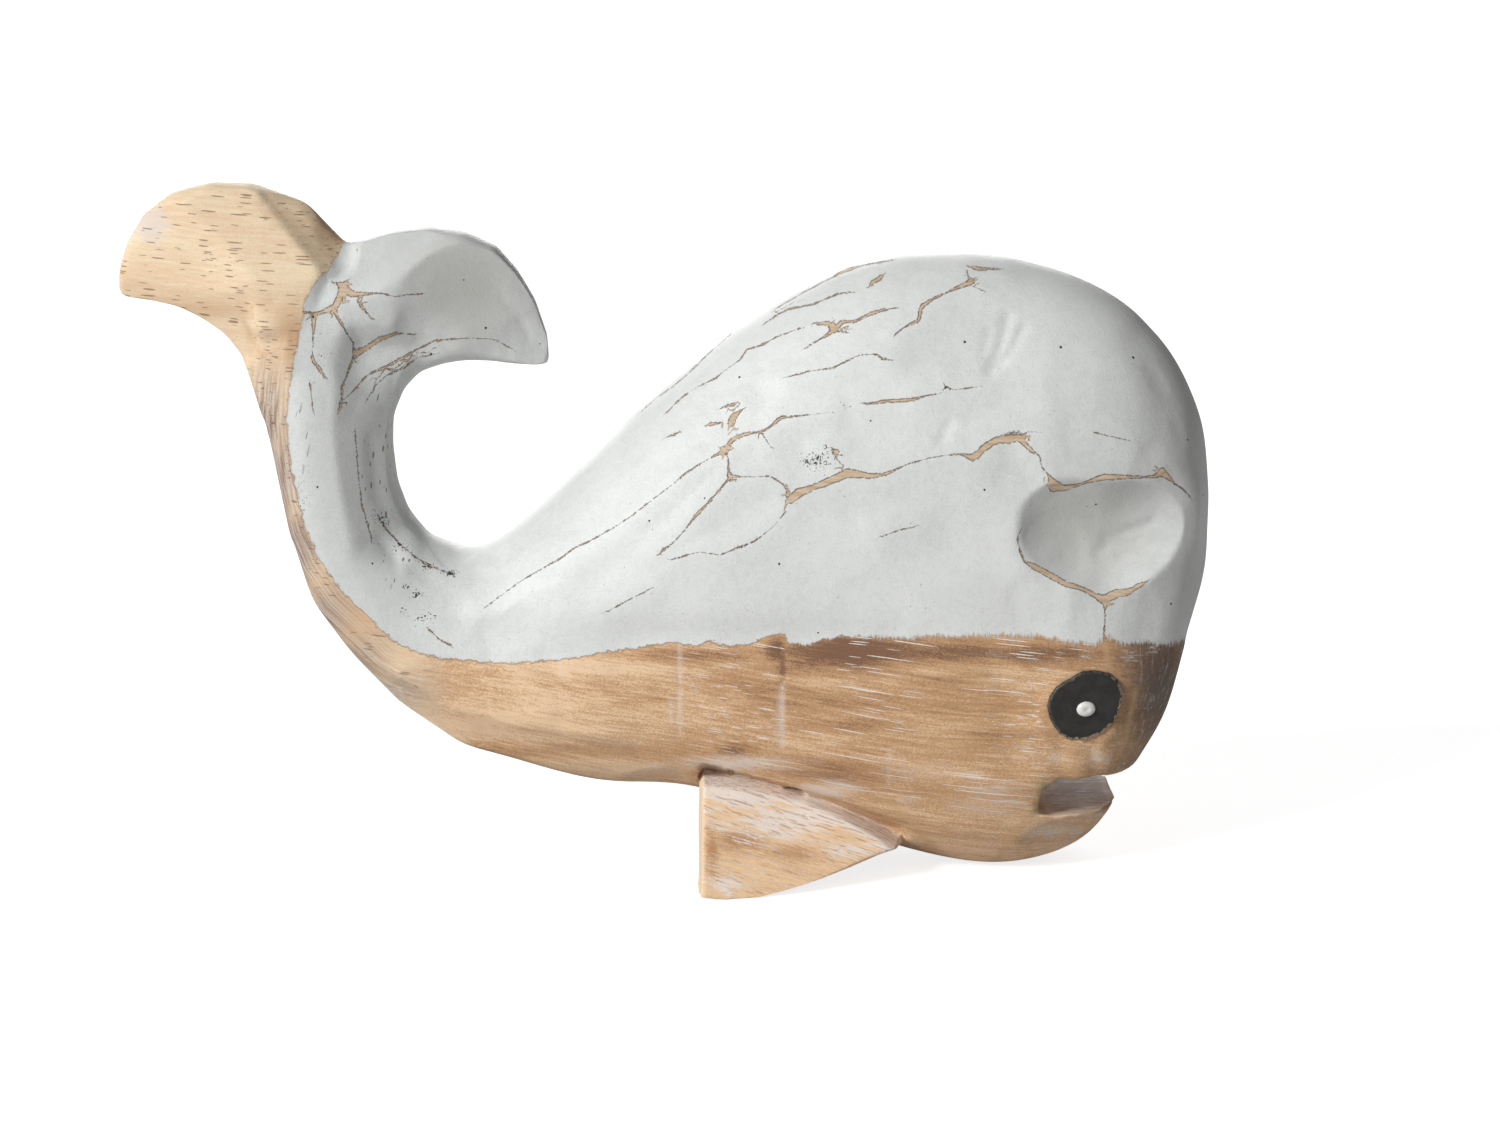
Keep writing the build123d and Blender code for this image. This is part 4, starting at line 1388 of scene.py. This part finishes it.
def makeEyeDisc(normal):
    # Drawn inward ring by ring, from its hidden back over its chipped edge to the middle
    shape = eyeShape
    marks = [onEye(pixel) for pixel in shape["outline"]]
    centre = sum(marks, Vector()) / len(marks)
    coarse, fine = shape["chipWaves"]
    middleWear, moreWear, leastWear = shape["wear"]
    rim = []
    for start, end in zip(marks, marks[1:] + marks[:1]):
        rim += [start.lerp(end, step / shape["steps"]) for step in range(shape["steps"])]
    work = bmesh.new()
    place = work.verts.layers.int.new("place")
    wear = work.verts.layers.float.new("rimWear")
    ring = bmesh.ops.create_circle(work, cap_ends=True, segments=len(rim), radius=1)["verts"]
    edges = list(work.edges)
    for index, vert in enumerate(ring):
        vert[place] = index
    for number, (share, depth, chipped, worn) in enumerate(shape["rings"]):
        if number:
            made = bmesh.ops.extrude_edge_only(work, edges=edges)["geom"]
            ring = [part for part in made if isinstance(part, bmesh.types.BMVert)]
            edges = [part for part in made if isinstance(part, bmesh.types.BMEdge)]
        for vert in ring:
            point = rim[vert[place]]
            chip = noise.noise(point * coarse) + 0.5 * noise.noise(point * fine)
            inward = (centre - point).normalized() * max(chip, 0) * shape["chip"] * chipped
            spot = centre + (point - centre) * share + inward
            spot -= normal * (depth * millimetre)
            ripple = noise.noise(point * shape["faceWaves"] + Vector((share * 3, 0, 0)))
            spot += normal * ripple * shape["wave"]
            vert.co = spot
            low = point.x - centre.x - point.z + centre.z
            vert[wear] = worn * max(leastWear, min(1, middleWear + low * moreWear))
    bmesh.ops.edgeloop_fill(work, edges=edges)
    work.verts.layers.int.remove(place)
    bmesh.ops.recalc_face_normals(work, faces=work.faces)
    bmesh.ops.triangulate(work, faces=[face for face in work.faces if len(face.verts) > 4])
    return meshFrom(work, "right_eye_black")


def makeEyeDot(normal):
    shape = eyeShape
    centre = onEye(shape["dot"])
    work = bmesh.new()
    bmesh.ops.create_uvsphere(work, u_segments=40, v_segments=24, radius=1)
    turn = Vector((0, 0, 1)).rotation_difference(normal).to_matrix()
    wide, tall = shape["dotRadii"]
    for vert in work.verts:
        flat = math.hypot(vert.co.x, vert.co.y)
        vert.co.z = max(vert.co.z, shape["dotBack"]) * shape["dotHeight"]
        vert.co.z -= shape["dimple"] * math.exp(-((flat / shape["dimpleReach"]) ** 2))
    bmesh.ops.rotate(work, verts=work.verts, cent=(0, 0, 0), matrix=turn)
    flatWide = Vector((1, 0, 0)) - normal * normal.x
    flatWide.normalize()
    flatTall = normal.cross(flatWide)
    for vert in work.verts:
        along, tallShare = vert.co.dot(flatWide), vert.co.dot(flatTall)
        vert.co += flatWide * along * (wide - 1) + flatTall * tallShare * (tall - 1)
    bmesh.ops.translate(work, vec=centre, verts=work.verts)
    return meshFrom(work, "right_eye_white")


def makeEyes():
    black, white = makeEyeFinishes()
    normal = eyePlane()[1]
    discMesh = makeEyeDisc(normal)
    dotMesh = makeEyeDot(normal)
    for sideName in ("right", "left"):
        disc = discMesh if sideName == "right" else mirrorMesh(discMesh, "left_eye_black")
        dot = dotMesh if sideName == "right" else mirrorMesh(dotMesh, "left_eye_white")
        piece = addPiece(sideName + "_eye_black", disc, black)
        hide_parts(sideName + "_eye_disc")
        piece = addPiece(sideName + "_eye_white", dot, white)
        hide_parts(sideName + "_eye_dot")


makeEyes()
print("eyes made")

# Dowels of plain bare wood

dowelLook = {
    "pale": (0.72, 0.54, 0.35),
    "dark": (0.60, 0.42, 0.25),
    "rough": 0.6,
    "bump": (0.3, 0.0002),
}


def makeDowelFinish():
    look = dowelLook
    material, tree, shader, position = newMaterial("dowelWood")
    dowel = placeGroup(tree, grain, {"Position": position})
    colour = blend(tree, spread(tree, dowel["Bands"], 0.35, 0.65), look["pale"], look["dark"])
    tree.links.new(colour, shader.inputs["Base Color"])
    shader.inputs["Roughness"].default_value = look["rough"]
    addBump(tree, shader, dowel["Fibres"], *look["bump"])
    return material


def makeFinPegs(body, finish):
    # Copies of the fins' dowels that stay under the fins' trimmed upper edge
    skin = skinTree(body, meshPoints(body))
    for sideName in ("right", "left"):
        node = sideName + "_fin_dowels"
        copy = mergedCopy(sideName + "_fin_pegs", node)
        mesh = copy.data
        points = meshPoints(mesh)
        for point in points:
            most = underSkin(point, skin, finShape["pegUnder"])
            point[1] = math.copysign(min(abs(point[1]), most), point[1])
        setPoints(mesh, points)
        bpy.data.objects.remove(copy)
        piece = addPiece(sideName + "_fin_pegs", mesh, finish)
        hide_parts(node)


dowelFinish = makeDowelFinish()
makeFinPegs(whaleBody.data, dowelFinish)
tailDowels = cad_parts["tail_dowels"]
tailDowels.data.materials.clear()
tailDowels.data.materials.append(dowelFinish)
print("dowels finished")

# Floor, light and camera

stageLook = {
    "floorSize": 60.0,
    "floorColour": (0.66, 0.66, 0.66),
    "floorRough": 0.9,
    "floorLift": 0.80,  # emission that only the camera sees
    "worldLight": (0.125, 0.125, 0.125),
    # where each soft light comes from, its power and its angle across in degrees
    "lights": {
        "windowLight": ((-0.66, -0.62, 0.48), 2.9, 20.0),
        "backLight": ((-0.10, 0.96, 0.28), 1.7, 40.0),
    },
}


def makeFloor():
    work = bmesh.new()
    bmesh.ops.create_grid(work, x_segments=1, y_segments=1, size=stageLook["floorSize"] / 2)
    floor = addObject("floor", meshFrom(work, "floor"))
    material = bpy.data.materials.new("floorWhite")
    material.use_nodes = True
    tree = material.node_tree
    shader = tree.nodes["Principled BSDF"]
    shader.inputs["Base Color"].default_value = (*stageLook["floorColour"], 1)
    shader.inputs["Roughness"].default_value = stageLook["floorRough"]
    shader.inputs["Specular IOR Level"].default_value = 0.0
    rays = tree.nodes.new("ShaderNodeLightPath").outputs
    lift = calc(tree, "MULTIPLY", rays["Is Camera Ray"], stageLook["floorLift"])
    shader.inputs["Emission Color"].default_value = (1, 1, 1, 1)
    tree.links.new(lift, shader.inputs["Emission Strength"])
    floor.data.materials.append(material)


def makeLight():
    for name, (place, power, angle) in stageLook["lights"].items():
        sun = bpy.data.lights.new(name, "SUN")
        sun.energy = power
        sun.angle = math.radians(angle)
        lamp = addObject(name, sun)
        lamp.rotation_euler = Vector(place).to_track_quat("Z", "Y").to_euler()
    world = bpy.data.worlds.new("plainRoom")
    bpy.context.scene.world = world
    world.use_nodes = True
    tree = world.node_tree
    background = tree.nodes["Background"]
    rays = tree.nodes.new("ShaderNodeLightPath").outputs
    seen = calc(tree, "MAXIMUM", rays["Is Camera Ray"], rays["Is Transmission Ray"])
    colour = blend(tree, seen, stageLook["worldLight"], (1, 1, 1))
    tree.links.new(colour, background.inputs["Color"])
    background.inputs["Strength"].default_value = 1.0


def makeCamera():
    eye, forward = viewAxes()[:2]
    camera = bpy.data.cameras.new("photoView")
    camera.sensor_width = view["sensor"]
    seenWidth = view["pixelSize"] * view["pixels"][0]
    camera.lens = view["sensor"] * view["distance"] / seenWidth
    camera.clip_start, camera.clip_end = view["clip"]
    holder = addObject("photoView", camera)
    holder.location = eye
    holder.rotation_euler = (-forward).to_track_quat("Z", "Y").to_euler()
    bpy.context.scene.camera = holder


makeFloor()
makeLight()
makeCamera()
bpy.context.scene.view_settings.view_transform = "Standard"
print("floor, light and camera set")
